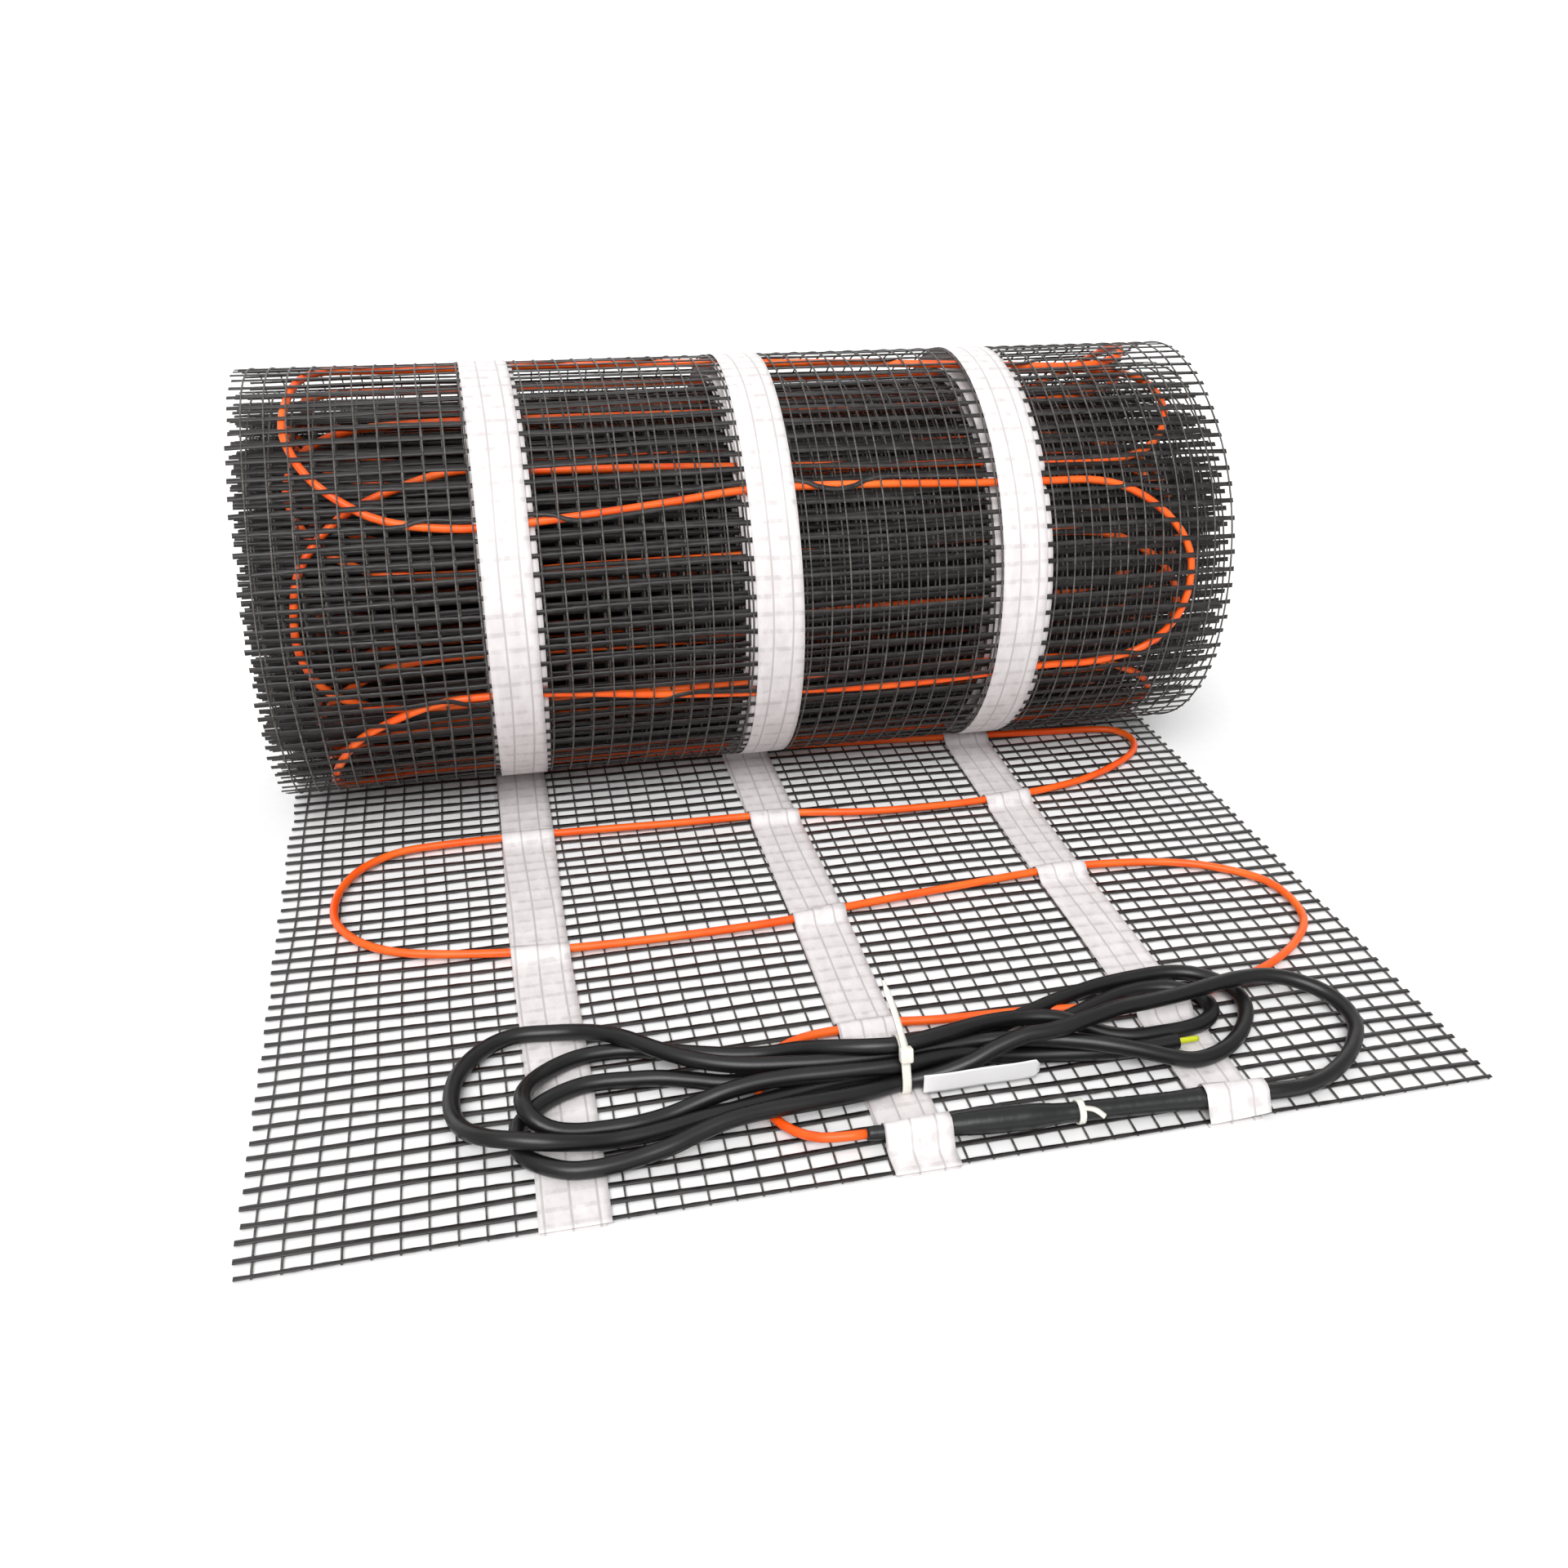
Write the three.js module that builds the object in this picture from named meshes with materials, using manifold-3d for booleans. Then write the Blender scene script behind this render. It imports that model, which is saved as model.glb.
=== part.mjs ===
// Underfloor heating mat: a glass-fibre mesh that carries a heating cable between pairs of tapes,
// rolled up at the back and laid flat at the front, with its cold lead in a tied hank on top.
// Millimetres, +Z up. X runs across the mat, Y from its front edge towards the roll.
// Y is counted from the front weft bar, and Z from the underside of the mesh, until the last step,
// which centres the part on its footprint and sets it on its back tapes.
import * as THREE from "three";
import { mergeVertices } from "three/addons/utils/BufferGeometryUtils.js";
import Module from "manifold-3d";

const wasm = await Module();
wasm.setup();

// Clearance between pieces that lie against each other
const CLEARANCE = 0.3;

// Mesh: each bar stands for three strands of the real mesh, which has 10 by 9 mm holes
const MAT_WIDTH = 500;
const LEFT_FRINGE = 7.5;
const RIGHT_FRINGE = 2.5;
const FRONT_FRINGE = 3;
const WARP_BARS = 17;
const WARP_BAR_WIDTH = 1.6;
const WEFT_PITCH = 27;
const WEFT_BAR_WIDTH = 2.4;
const MESH_THICKNESS = 0.8;
const FLAT_LENGTH = 381;

// Roll
const ROLL_RADIUS = 110;
const BORE_RADIUS = 30;
const TURNS = 10;
const TURN_EDGE_DEPTH = 5;
const ROLL_SIDES = 32;

// Heating cable, tapes and joint sleeve
const CABLE_DIAMETER = 4;
const TAPE_WIDTH = 25;
const TAPE_THICKNESS = 0.4;
const TAPE_SPACING = 132;
const TAPE_FRONT_OVERHANG = 2.6;
const TAPE_FOOT = 1.6;
const ROLL_TAPE_SIDES = 30;
const SLEEVE_LENGTH = 162;
const SLEEVE_MAX_RADIUS = 5.2;
const SLEEVE_LEFT_X = -18.5;
const SLEEVE_LEFT_Y = 17;
const SLEEVE_TURN = THREE.MathUtils.degToRad(-4);
const SLEEVE_TIE_AT = 86;
const SLEEVE_TIE_WIDTH = 2.6;
const SLEEVE_TIE_THICKNESS = 0.9;
const SLEEVE_TIE_TAIL = 7;

// Cold lead and what is on it
const LEAD_DIAMETER = 7;
const LOBE_HEIGHT = 7.4;
const NECK_HEIGHT = 13.4;
const WAIST_HEIGHT = 21;
const NECK_LENGTH = 200;
const NECK_WIDTH = 32;
const NECK_Y = 47;
const WAIST_LEFT = -30;
const WAIST_RIGHT = 58;
const WAIST_WIDTH = 26;
const LEFT_LOBE = { x: -127.5, y: 68, radius: 47 };
const RIGHT_LOBE = { x: 137.5, y: 64, radius: 33 };
const LEFT_WINDOW = { x: -110, y: 68, halfLength: 26, halfWidth: 15 };
const RIGHT_WINDOW = { x: 137.5, y: 68, radius: 13 };
const TIE_X = 5;
const TIE_WIDTH = 3.6;
const TIE_THICKNESS = 1.2;
const TIE_HEAD = { length: 5, depth: 6.5, height: 4.5 };
const TIE_TAIL = { length: 34, width: 2.6, thickness: 1, rise: THREE.MathUtils.degToRad(25) };
const LABEL = { length: 50, height: 9, thickness: 0.4 };
const CORE_RADIUS = 1.3;
const CORE_LENGTH = 9;
const CORE_SLOT = { left: 127, right: 142, y: 46.5, width: 6 };

// Heights and places that follow from the sizes above
const turnPitch = (ROLL_RADIUS - BORE_RADIUS) / TURNS;
const backTapeRoom = TAPE_THICKNESS + CLEARANCE;
const halfWidth = MAT_WIDTH / 2;
const restHeight = MESH_THICKNESS + CLEARANCE;
const cableRadius = CABLE_DIAMETER / 2;
const cableHeight = restHeight + cableRadius;
const leadRadius = LEAD_DIAMETER / 2;
const leadHeight = restHeight + leadRadius;
const sleeveHeight = restHeight + SLEEVE_MAX_RADIUS;
const tapeCentres = { tape_left: -TAPE_SPACING, tape_centre: 0, tape_right: TAPE_SPACING };

// Y where a flat thing of this height, lying on the floor, meets the front of the roll
function rollFrontAt(height) {
  return FLAT_LENGTH - Math.sqrt(ROLL_RADIUS ** 2 - (ROLL_RADIUS - height) ** 2) - CLEARANCE;
}

// Y of a lying cable that just touches the front of the roll
const cableEndY =
  FLAT_LENGTH -
  Math.sqrt((ROLL_RADIUS + CLEARANCE + cableRadius) ** 2 - (ROLL_RADIUS - cableHeight) ** 2);

// Solids

function positionsOnly(geometry) {
  const bare = geometry.index ? geometry.toNonIndexed() : geometry.clone();
  return new THREE.BufferGeometry().setAttribute("position", bare.getAttribute("position"));
}

function toSolid(geometry) {
  const merged = mergeVertices(positionsOnly(geometry), 1e-4);
  return new wasm.Manifold(
    new wasm.Mesh({
      numProp: 3,
      vertProperties: merged.attributes.position.array,
      triVerts: new Uint32Array(merged.index.array),
    }),
  );
}

function toGeometry(solid) {
  const mesh = solid.getMesh();
  const geometry = new THREE.BufferGeometry();
  geometry.setAttribute("position", new THREE.BufferAttribute(mesh.vertProperties, 3));
  geometry.setIndex(new THREE.BufferAttribute(mesh.triVerts, 1));
  geometry.computeVertexNormals();
  return geometry;
}

function joined(geometries) {
  return geometries.map(toSolid).reduce((whole, next) => whole.add(next));
}

function boxBetween(low, high) {
  const size = high.map((value, axis) => value - low[axis]);
  const centre = high.map((value, axis) => (value + low[axis]) / 2);
  return new THREE.BoxGeometry(...size).translate(...centre);
}

function tube(curve, radius, sides, steps) {
  const corners = [];
  for (let side = 0; side < sides; side += 1) {
    const angle = (2 * Math.PI * side) / sides;
    corners.push(new THREE.Vector2(radius * Math.cos(angle), radius * Math.sin(angle)));
  }
  return new THREE.ExtrudeGeometry(new THREE.Shape(corners), {
    steps,
    extrudePath: curve,
    bevelEnabled: false,
  });
}

function smoothCurve(points) {
  return new THREE.CatmullRomCurve3(
    points.map((point) => new THREE.Vector3(...point)),
    false,
    "centripetal",
  );
}

// A shape in the XY plane, raised from one height to another
function raised(shape, bottom, top, curveSegments = 8) {
  const geometry = new THREE.ExtrudeGeometry(shape, {
    depth: top - bottom,
    bevelEnabled: false,
    curveSegments,
  });
  return geometry.translate(0, 0, bottom);
}

// A side profile of [y, z] points, extruded across X about a centre
function acrossX(profile, centreX, width) {
  const shape = new THREE.Shape(profile.map(([y, z]) => new THREE.Vector2(y, z)));
  const geometry = new THREE.ExtrudeGeometry(shape, { depth: width, bevelEnabled: false });
  const axes = new THREE.Matrix4().set(0, 0, 1, 0, 1, 0, 0, 0, 0, 1, 0, 0, 0, 0, 0, 1);
  return geometry.applyMatrix4(axes).translate(centreX - width / 2, 0, 0);
}

// Mesh: a flat lattice built cell by cell. The lines bound the bars, so every second strip
// between them is a bar, and a cell is solid where it lies in a bar of either direction.
function barLines(first, last, centres, barWidth) {
  return [first, ...centres.flatMap((at) => [at - barWidth / 2, at + barWidth / 2]), last];
}

function latticeGeometry(xLines, yLines, thickness) {
  const corner = (i, j, z) => [xLines[i], yLines[j], z];
  const isSolid = (i, j) => {
    const inside = i >= 0 && j >= 0 && i < xLines.length - 1 && j < yLines.length - 1;
    return inside && (i % 2 === 1 || j % 2 === 1);
  };
  const positions = [];
  const quad = (a, b, c, d) => positions.push(...a, ...b, ...c, ...a, ...c, ...d);
  const wall = (i0, j0, i1, j1) =>
    quad(corner(i0, j0, 0), corner(i1, j1, 0), corner(i1, j1, thickness), corner(i0, j0, thickness));
  for (let i = 0; i < xLines.length - 1; i += 1) {
    for (let j = 0; j < yLines.length - 1; j += 1) {
      if (!isSolid(i, j)) continue;
      const [a, b, c, d] = [[i, j], [i + 1, j], [i + 1, j + 1], [i, j + 1]];
      quad(...[a, b, c, d].map((at) => corner(...at, thickness)));
      quad(...[d, c, b, a].map((at) => corner(...at, 0)));
      if (!isSolid(i, j - 1)) wall(...a, ...b);
      if (!isSolid(i + 1, j)) wall(...b, ...c);
      if (!isSolid(i, j + 1)) wall(...c, ...d);
      if (!isSolid(i - 1, j)) wall(...d, ...a);
    }
  }
  const geometry = new THREE.BufferGeometry();
  geometry.setAttribute("position", new THREE.Float32BufferAttribute(positions, 3));
  return mergeVertices(geometry);
}

function meshGeometry() {
  const warpPitch = (MAT_WIDTH - LEFT_FRINGE - RIGHT_FRINGE) / (WARP_BARS - 1);
  const rearY = rollFrontAt(MESH_THICKNESS);
  const warpAt = [];
  for (let index = 0; index < WARP_BARS; index += 1) {
    warpAt.push(-halfWidth + LEFT_FRINGE + index * warpPitch);
  }
  const weftAt = [];
  for (let y = 0; y < rearY - WEFT_BAR_WIDTH; y += WEFT_PITCH) {
    weftAt.push(y);
  }
  const xLines = barLines(-halfWidth, halfWidth, warpAt, WARP_BAR_WIDTH);
  const yLines = barLines(-FRONT_FRINGE, rearY, weftAt, WEFT_BAR_WIDTH);
  return latticeGeometry(xLines, yLines, MESH_THICKNESS);
}

// Roll: one turned solid about X, with a bore, and a raised edge on its ends for each turn
function rollGeometry() {
  const endProfile = [new THREE.Vector2(BORE_RADIUS, halfWidth - TURN_EDGE_DEPTH)];
  for (let turn = 0; turn < TURNS; turn += 1) {
    const inner = BORE_RADIUS + turn * turnPitch;
    endProfile.push(new THREE.Vector2(inner + 0.4 * turnPitch, halfWidth - TURN_EDGE_DEPTH));
    endProfile.push(new THREE.Vector2(inner + turnPitch, halfWidth));
  }
  const otherEnd = endProfile.map((point) => new THREE.Vector2(point.x, -point.y)).reverse();
  const closed = [...endProfile, ...otherEnd, endProfile[0].clone()].reverse();
  return new THREE.LatheGeometry(closed, ROLL_SIDES).rotateZ(-Math.PI / 2);
}

// Joint sleeve: heat-shrink over the joint of the cable and the lead, thicker over the joint
// and necked where its small tie holds it
const sleeveProfile = [
  [0, 2.8],
  [10, 3],
  [20, 3.9],
  [32, 4.2],
  [46, SLEEVE_MAX_RADIUS],
  [68, SLEEVE_MAX_RADIUS],
  [78, 4],
  [100, 4],
  [126, 4.1],
  [138, 4.8],
  [SLEEVE_LENGTH, 4.6],
];
const sleeveStart = new THREE.Vector3(SLEEVE_LEFT_X, SLEEVE_LEFT_Y, sleeveHeight);
const sleeveDirection = new THREE.Vector3(Math.cos(SLEEVE_TURN), Math.sin(SLEEVE_TURN), 0);

function sleevePoint(distance) {
  return sleeveStart.clone().addScaledVector(sleeveDirection, distance);
}

function turnedAboutX(profile, sides) {
  const points = profile.map(([along, radius]) => new THREE.Vector2(radius, along));
  return new THREE.LatheGeometry(points, sides).rotateZ(-Math.PI / 2);
}

function sleeveGeometry() {
  const ends = [[0, 0], ...sleeveProfile, [SLEEVE_LENGTH, 0]];
  return turnedAboutX(ends, 12);
}

// Largest radius of the sleeve under a tape
function sleeveRadiusUnder(centreX) {
  const along = (centreX - SLEEVE_LEFT_X) / Math.cos(SLEEVE_TURN);
  const reach = TAPE_WIDTH / 2;
  const near = sleeveProfile.filter(([distance], index) => {
    const before = sleeveProfile[Math.max(index - 1, 0)][0];
    const after = sleeveProfile[Math.min(index + 1, sleeveProfile.length - 1)][0];
    return before <= along + reach && Math.max(after, distance) >= along - reach;
  });
  return Math.max(...near.map(([, radius]) => radius));
}

// Heating cable: from the sleeve, back and forth across the mat, and in under the roll
const cableRoute = [
  sleevePoint(-CLEARANCE).toArray(),
  sleevePoint(-10).toArray(),
  [-37, 20.5, 5.2],
  [-45, 28, 3.8],
  [-51, 39, cableHeight],
  [-53.5, 54, cableHeight],
  [-50.5, 68, cableHeight],
  [-42.5, 79, cableHeight],
  [-28.5, 86, cableHeight],
  [-10.5, 88, cableHeight],
  [11, 88.5, cableHeight],
  [29, 86, cableHeight],
  [74, 83, cableHeight],
  [103, 79, cableHeight],
  [142, 76, cableHeight],
  [162, 81, cableHeight],
  [halfWidth - 54, 93.5, cableHeight],
  [halfWidth - 32, 109, cableHeight],
  [halfWidth - 20, 124, cableHeight],
  [halfWidth - 16.5, 142, cableHeight],
  [halfWidth - 21, 162, cableHeight],
  [halfWidth - 41, 180, cableHeight],
  [halfWidth - 65, 190, cableHeight],
  [137.5, 196, cableHeight],
  [112, 194, cableHeight],
  [66, 189, cableHeight],
  [10, 182, cableHeight],
  [-15, 177.5, cableHeight],
  [-88, 175, cableHeight],
  [-145, 178, cableHeight],
  [-halfWidth + 56, 189, cableHeight],
  [-halfWidth + 39, 201, cableHeight],
  [-halfWidth + 28, 219, cableHeight],
  [-halfWidth + 26, 234, cableHeight],
  [-halfWidth + 29, 252, cableHeight],
  [-halfWidth + 38, 269, cableHeight],
  [-halfWidth + 55, FLAT_LENGTH - 99.5, cableHeight],
  [-172, FLAT_LENGTH - 96, cableHeight],
  [-125, FLAT_LENGTH - 95.5, cableHeight],
  [-55, FLAT_LENGTH - 98, cableHeight],
  [9.5, FLAT_LENGTH - 100, cableHeight],
  [53.5, FLAT_LENGTH - 107, cableHeight],
  [114.5, FLAT_LENGTH - 107.5, cableHeight],
  [halfWidth - 78, FLAT_LENGTH - 98, cableHeight],
  [halfWidth - 46, FLAT_LENGTH - 83, cableHeight],
  [halfWidth - 26, FLAT_LENGTH - 66, cableHeight],
  [halfWidth - 21, FLAT_LENGTH - 51, cableHeight],
  [halfWidth - 26, cableEndY - 5, cableHeight],
  [halfWidth - 38, cableEndY - 0.6, cableHeight],
  [halfWidth - 45, cableEndY, cableHeight],
];
const cableCurve = smoothCurve(cableRoute);
const CABLE_STEPS = 100;

// The stretches of Y in which the cable crosses a tape, from the front to the roll
function cableCrossings(centreX) {
  const crossings = [];
  let current = null;
  for (const point of cableCurve.getSpacedPoints(4 * CABLE_STEPS)) {
    const inside = Math.abs(point.x - centreX) <= TAPE_WIDTH / 2 + cableRadius;
    if (inside && !current) {
      current = { low: point.y, high: point.y };
      crossings.push(current);
    }
    if (inside) {
      current.low = Math.min(current.low, point.y);
      current.high = Math.max(current.high, point.y);
    } else {
      current = null;
    }
  }
  return crossings.sort((one, other) => one.low - other.low);
}

// Underside of a tape from the front to the roll, as [y, z]: flat on the mesh, up over the
// sleeve where it lies under this tape, and up over each cable run
function tapeUnderside(centreX) {
  const line = [[-TAPE_FRONT_OVERHANG, restHeight]];
  const along = (centreX - SLEEVE_LEFT_X) / Math.cos(SLEEVE_TURN);
  if (along > 0 && along < SLEEVE_LENGTH) {
    const centreY = sleevePoint(along).y;
    const drift = (Math.abs(Math.sin(SLEEVE_TURN)) * TAPE_WIDTH) / 2;
    const reach = sleeveRadiusUnder(centreX) + CLEARANCE;
    const outer = reach / Math.cos(Math.PI / 8);
    line.push([centreY - drift - outer - TAPE_FOOT, restHeight]);
    for (const [side, angle] of [[-1, 180], [-1, 135], [0, 90], [1, 45], [1, 0]]) {
      const turn = THREE.MathUtils.degToRad(angle);
      line.push([
        centreY + side * drift + outer * Math.cos(turn),
        sleeveHeight + outer * Math.sin(turn),
      ]);
    }
    line.push([centreY + drift + outer + TAPE_FOOT, restHeight]);
  }
  const crest = cableHeight + cableRadius + 1.7 * CLEARANCE;
  const shoulder = 0.6 * cableRadius;
  const foot = cableRadius + 2.2 + CLEARANCE;
  for (const { low, high } of cableCrossings(centreX)) {
    line.push([low - foot, restHeight]);
    line.push([low - shoulder, crest]);
    line.push([high + shoulder, crest]);
    line.push([high + foot, restHeight]);
  }
  line.push([rollFrontAt(restHeight + TAPE_THICKNESS), restHeight]);
  return line;
}

// The same line moved off by a distance, square to its two neighbours at each corner
function offsetLine(line, distance) {
  return line.map((point, index) => {
    const before = line[Math.max(index - 1, 0)];
    const after = line[Math.min(index + 1, line.length - 1)];
    const unit = ([y0, z0], [y1, z1]) => {
      const length = Math.hypot(y1 - y0, z1 - z0) || 1;
      return [-(z1 - z0) / length, (y1 - y0) / length];
    };
    const first = index === 0 ? unit(point, after) : unit(before, point);
    const second = index === line.length - 1 ? first : unit(point, after);
    const scale = distance / (1 + first[0] * second[0] + first[1] * second[1]);
    return [point[0] + (first[0] + second[0]) * scale, point[1] + (first[1] + second[1]) * scale];
  });
}

function tapeGeometry(centreX) {
  const underside = tapeUnderside(centreX);
  const top = offsetLine(underside, TAPE_THICKNESS);
  return acrossX([...underside, ...top.reverse()], centreX, TAPE_WIDTH);
}

// The room that a tape and what lies under it need in a piece that lies on them
function tapeRoom(centreX) {
  const top = offsetLine(tapeUnderside(centreX), TAPE_THICKNESS + CLEARANCE);
  const floor = -1;
  const outline = [[top[0][0], floor], [top.at(-1)[0], floor], ...top.reverse()];
  return acrossX(outline, centreX, TAPE_WIDTH + 2 * CLEARANCE);
}

// Back tapes: each runs under the mesh to the roll, and on round the roll's outside
function backTapeGeometry(centreX) {
  const front = -TAPE_FRONT_OVERHANG;
  const rear = FLAT_LENGTH - CLEARANCE / 2;
  const low = [centreX - TAPE_WIDTH / 2, front, -backTapeRoom];
  const high = [centreX + TAPE_WIDTH / 2, rear, -CLEARANCE];
  return boxBetween(low, high);
}

function rollTapeGeometry(centreX) {
  const inner = [];
  const outer = [];
  for (let side = 0; side <= ROLL_TAPE_SIDES; side += 1) {
    const angle = (2 * Math.PI * side) / ROLL_SIDES;
    const [alongY, alongZ] = [Math.sin(angle), -Math.cos(angle)];
    const [innerRadius, outerRadius] = [ROLL_RADIUS + CLEARANCE, ROLL_RADIUS + backTapeRoom];
    inner.push([FLAT_LENGTH + innerRadius * alongY, ROLL_RADIUS + innerRadius * alongZ]);
    outer.push([FLAT_LENGTH + outerRadius * alongY, ROLL_RADIUS + outerRadius * alongZ]);
  }
  return acrossX([...outer, ...inner.reverse()], centreX, TAPE_WIDTH);
}

// Cold lead: the stretch from the sleeve round to the hank
const leadRoute = [
  sleevePoint(SLEEVE_LENGTH + CLEARANCE).toArray(),
  sleevePoint(SLEEVE_LENGTH + 10).toArray(),
  [166, 6.5, 5.2],
  [178, 11, 4.7],
  [190, 18.5, leadHeight],
  [200, 28, leadHeight],
  [207.5, 39, 4.7],
  [209.5, 50, 5.6],
  [205, 61, 7.6],
  [195, 69, 10],
  [182, 73, 12.2],
  [168, 73, 13],
  [152, 70, 13.4],
  [135, 65.5, 14.4],
  [118, 61, 16.4],
  [102, 57, 18.5],
  [86, 52, 19],
  [74, 49, 18.6],
  [WAIST_RIGHT + CLEARANCE + 7, 48, 18.4],
  [WAIST_RIGHT + CLEARANCE, 48, 18.4],
];

// Hank: two flat lobes of loops, a thicker neck and the tied waist, as one solid of their outer shape
function hankOutline() {
  const outline = new THREE.Shape();
  const open = THREE.MathUtils.degToRad(75);
  const turn = 2 * Math.PI;
  outline.absarc(LEFT_LOBE.x, LEFT_LOBE.y, LEFT_LOBE.radius, open, turn - open, false);
  outline.quadraticCurveTo(-60, 28, -10, NECK_Y - NECK_WIDTH / 2 + 1);
  outline.absarc(RIGHT_LOBE.x, RIGHT_LOBE.y, RIGHT_LOBE.radius, Math.PI + open, turn + Math.PI - open, false);
  outline.quadraticCurveTo(70, 66, 10, NECK_Y + NECK_WIDTH / 2 - 1);
  outline.quadraticCurveTo(-50, 68, LEFT_LOBE.x + 12, LEFT_LOBE.y + 45.4);
  const leftWindow = new THREE.Path();
  leftWindow.absellipse(
    LEFT_WINDOW.x,
    LEFT_WINDOW.y,
    LEFT_WINDOW.halfLength,
    LEFT_WINDOW.halfWidth,
    0,
    turn,
  );
  const rightWindow = new THREE.Path();
  rightWindow.absarc(RIGHT_WINDOW.x, RIGHT_WINDOW.y, RIGHT_WINDOW.radius, 0, turn);
  outline.holes.push(leftWindow, rightWindow);
  return outline;
}

function neckOutline() {
  const outline = new THREE.Shape();
  const radius = NECK_WIDTH / 2;
  const reach = NECK_LENGTH / 2 - radius;
  outline.absarc(reach, NECK_Y, radius, -Math.PI / 2, Math.PI / 2, false);
  outline.absarc(-reach, NECK_Y, radius, Math.PI / 2, (3 * Math.PI) / 2, false);
  return outline;
}

const waistFront = NECK_Y - WAIST_WIDTH / 2;
const waistRear = NECK_Y + WAIST_WIDTH / 2;
const waistTop = restHeight + WAIST_HEIGHT;
const bandFloor = restHeight + TAPE_THICKNESS + CLEARANCE;

// A closed band of the tie round a cross-section of the waist
function bandAround(grow, halfLength) {
  const low = [TIE_X - halfLength, waistFront - grow, bandFloor + TIE_THICKNESS + CLEARANCE - grow];
  const high = [TIE_X + halfLength, waistRear + grow, waistTop + grow];
  return boxBetween(low, high);
}

function hankGeometry() {
  const waist = boxBetween(
    [WAIST_LEFT, waistFront, restHeight],
    [WAIST_RIGHT, waistRear, waistTop],
  );
  const tieSlot = boxBetween(
    [TIE_X - TIE_WIDTH / 2 - CLEARANCE, waistFront - NECK_WIDTH, -1],
    [TIE_X + TIE_WIDTH / 2 + CLEARANCE, waistRear + NECK_WIDTH, waistTop + 1],
  );
  const tied = boxBetween(
    [TIE_X - TIE_WIDTH, waistFront, bandFloor + TIE_THICKNESS + CLEARANCE],
    [TIE_X + TIE_WIDTH, waistRear, waistTop],
  );
  const coreSlot = boxBetween(
    [CORE_SLOT.left, CORE_SLOT.y - CORE_SLOT.width / 2, -1],
    [CORE_SLOT.right, CORE_SLOT.y + CORE_SLOT.width / 2, restHeight + NECK_HEIGHT],
  );
  const cableRoom = tube(cableCurve, cableRadius + 1.5 * CLEARANCE, 8, CABLE_STEPS);
  let hank = joined([
    raised(hankOutline(), restHeight, restHeight + LOBE_HEIGHT),
    raised(neckOutline(), restHeight, restHeight + NECK_HEIGHT),
    waist,
  ]);
  hank = hank.subtract(toSolid(tieSlot)).add(toSolid(tied));
  hank = hank.subtract(toSolid(coreSlot)).subtract(toSolid(cableRoom));
  for (const centreX of Object.values(tapeCentres)) {
    hank = hank.subtract(toSolid(tapeRoom(centreX)));
  }
  return toGeometry(hank);
}

// Cable tie round the waist: band, head and the tail that stands up behind it
function hankTieGeometry() {
  const half = TIE_WIDTH / 2;
  const outer = toSolid(bandAround(CLEARANCE + TIE_THICKNESS, half));
  const inner = toSolid(bandAround(CLEARANCE, TIE_WIDTH));
  const headBottom = waistTop + CLEARANCE;
  const head = boxBetween(
    [TIE_X - TIE_HEAD.length / 2, waistFront + 2, headBottom],
    [TIE_X + TIE_HEAD.length / 2, waistFront + 2 + TIE_HEAD.depth, headBottom + TIE_HEAD.height],
  );
  const tail = new THREE.BoxGeometry(TIE_TAIL.width, TIE_TAIL.length, TIE_TAIL.thickness);
  tail.translate(0, TIE_TAIL.length / 2, 0).rotateX(TIE_TAIL.rise);
  tail.translate(TIE_X, waistFront + TIE_HEAD.depth, headBottom + TIE_HEAD.height / 2);
  return toGeometry(outer.subtract(inner).add(toSolid(head)).add(toSolid(tail)));
}

// Small tie round the sleeve, in its neck, with a short tail
function sleeveTieGeometry() {
  const neck = sleeveProfile.find(([distance]) => distance >= SLEEVE_TIE_AT)[1];
  const inner = neck + CLEARANCE;
  const outer = inner + SLEEVE_TIE_THICKNESS;
  const half = SLEEVE_TIE_WIDTH / 2;
  const ring = turnedAboutX(
    [[-half, inner], [-half, outer], [half, outer], [half, inner], [-half, inner]],
    12,
  );
  const tailBottom = outer - SLEEVE_TIE_THICKNESS / 2;
  const tail = boxBetween(
    [-half, 0, tailBottom],
    [half, SLEEVE_TIE_TAIL, tailBottom + SLEEVE_TIE_THICKNESS],
  );
  tail.rotateX(TIE_TAIL.rise);
  return toGeometry(toSolid(ring).add(toSolid(tail)));
}

// Placing the pieces

const finishes = {
  mesh: new THREE.MeshStandardMaterial({ color: 0x221d1d, roughness: 0.55 }),
  cable: new THREE.MeshStandardMaterial({ color: 0xf4560d, roughness: 0.4 }),
  tape: new THREE.MeshStandardMaterial({ color: 0xe9e4e4, roughness: 0.5 }),
  sleeve: new THREE.MeshStandardMaterial({ color: 0x1b1c1d, roughness: 0.45 }),
  lead: new THREE.MeshStandardMaterial({ color: 0x141516, roughness: 0.5 }),
  tie: new THREE.MeshStandardMaterial({ color: 0xf0eee8, roughness: 0.45 }),
  label: new THREE.MeshStandardMaterial({ color: 0xeeeeee, roughness: 0.6 }),
  core: new THREE.MeshStandardMaterial({ color: 0xc9cf1d, roughness: 0.5 }),
};

const mat = new THREE.Group();

function place(name, geometry, finish) {
  const mesh = new THREE.Mesh(geometry, finish);
  mesh.name = name;
  mat.add(mesh);
  return mesh;
}

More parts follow.
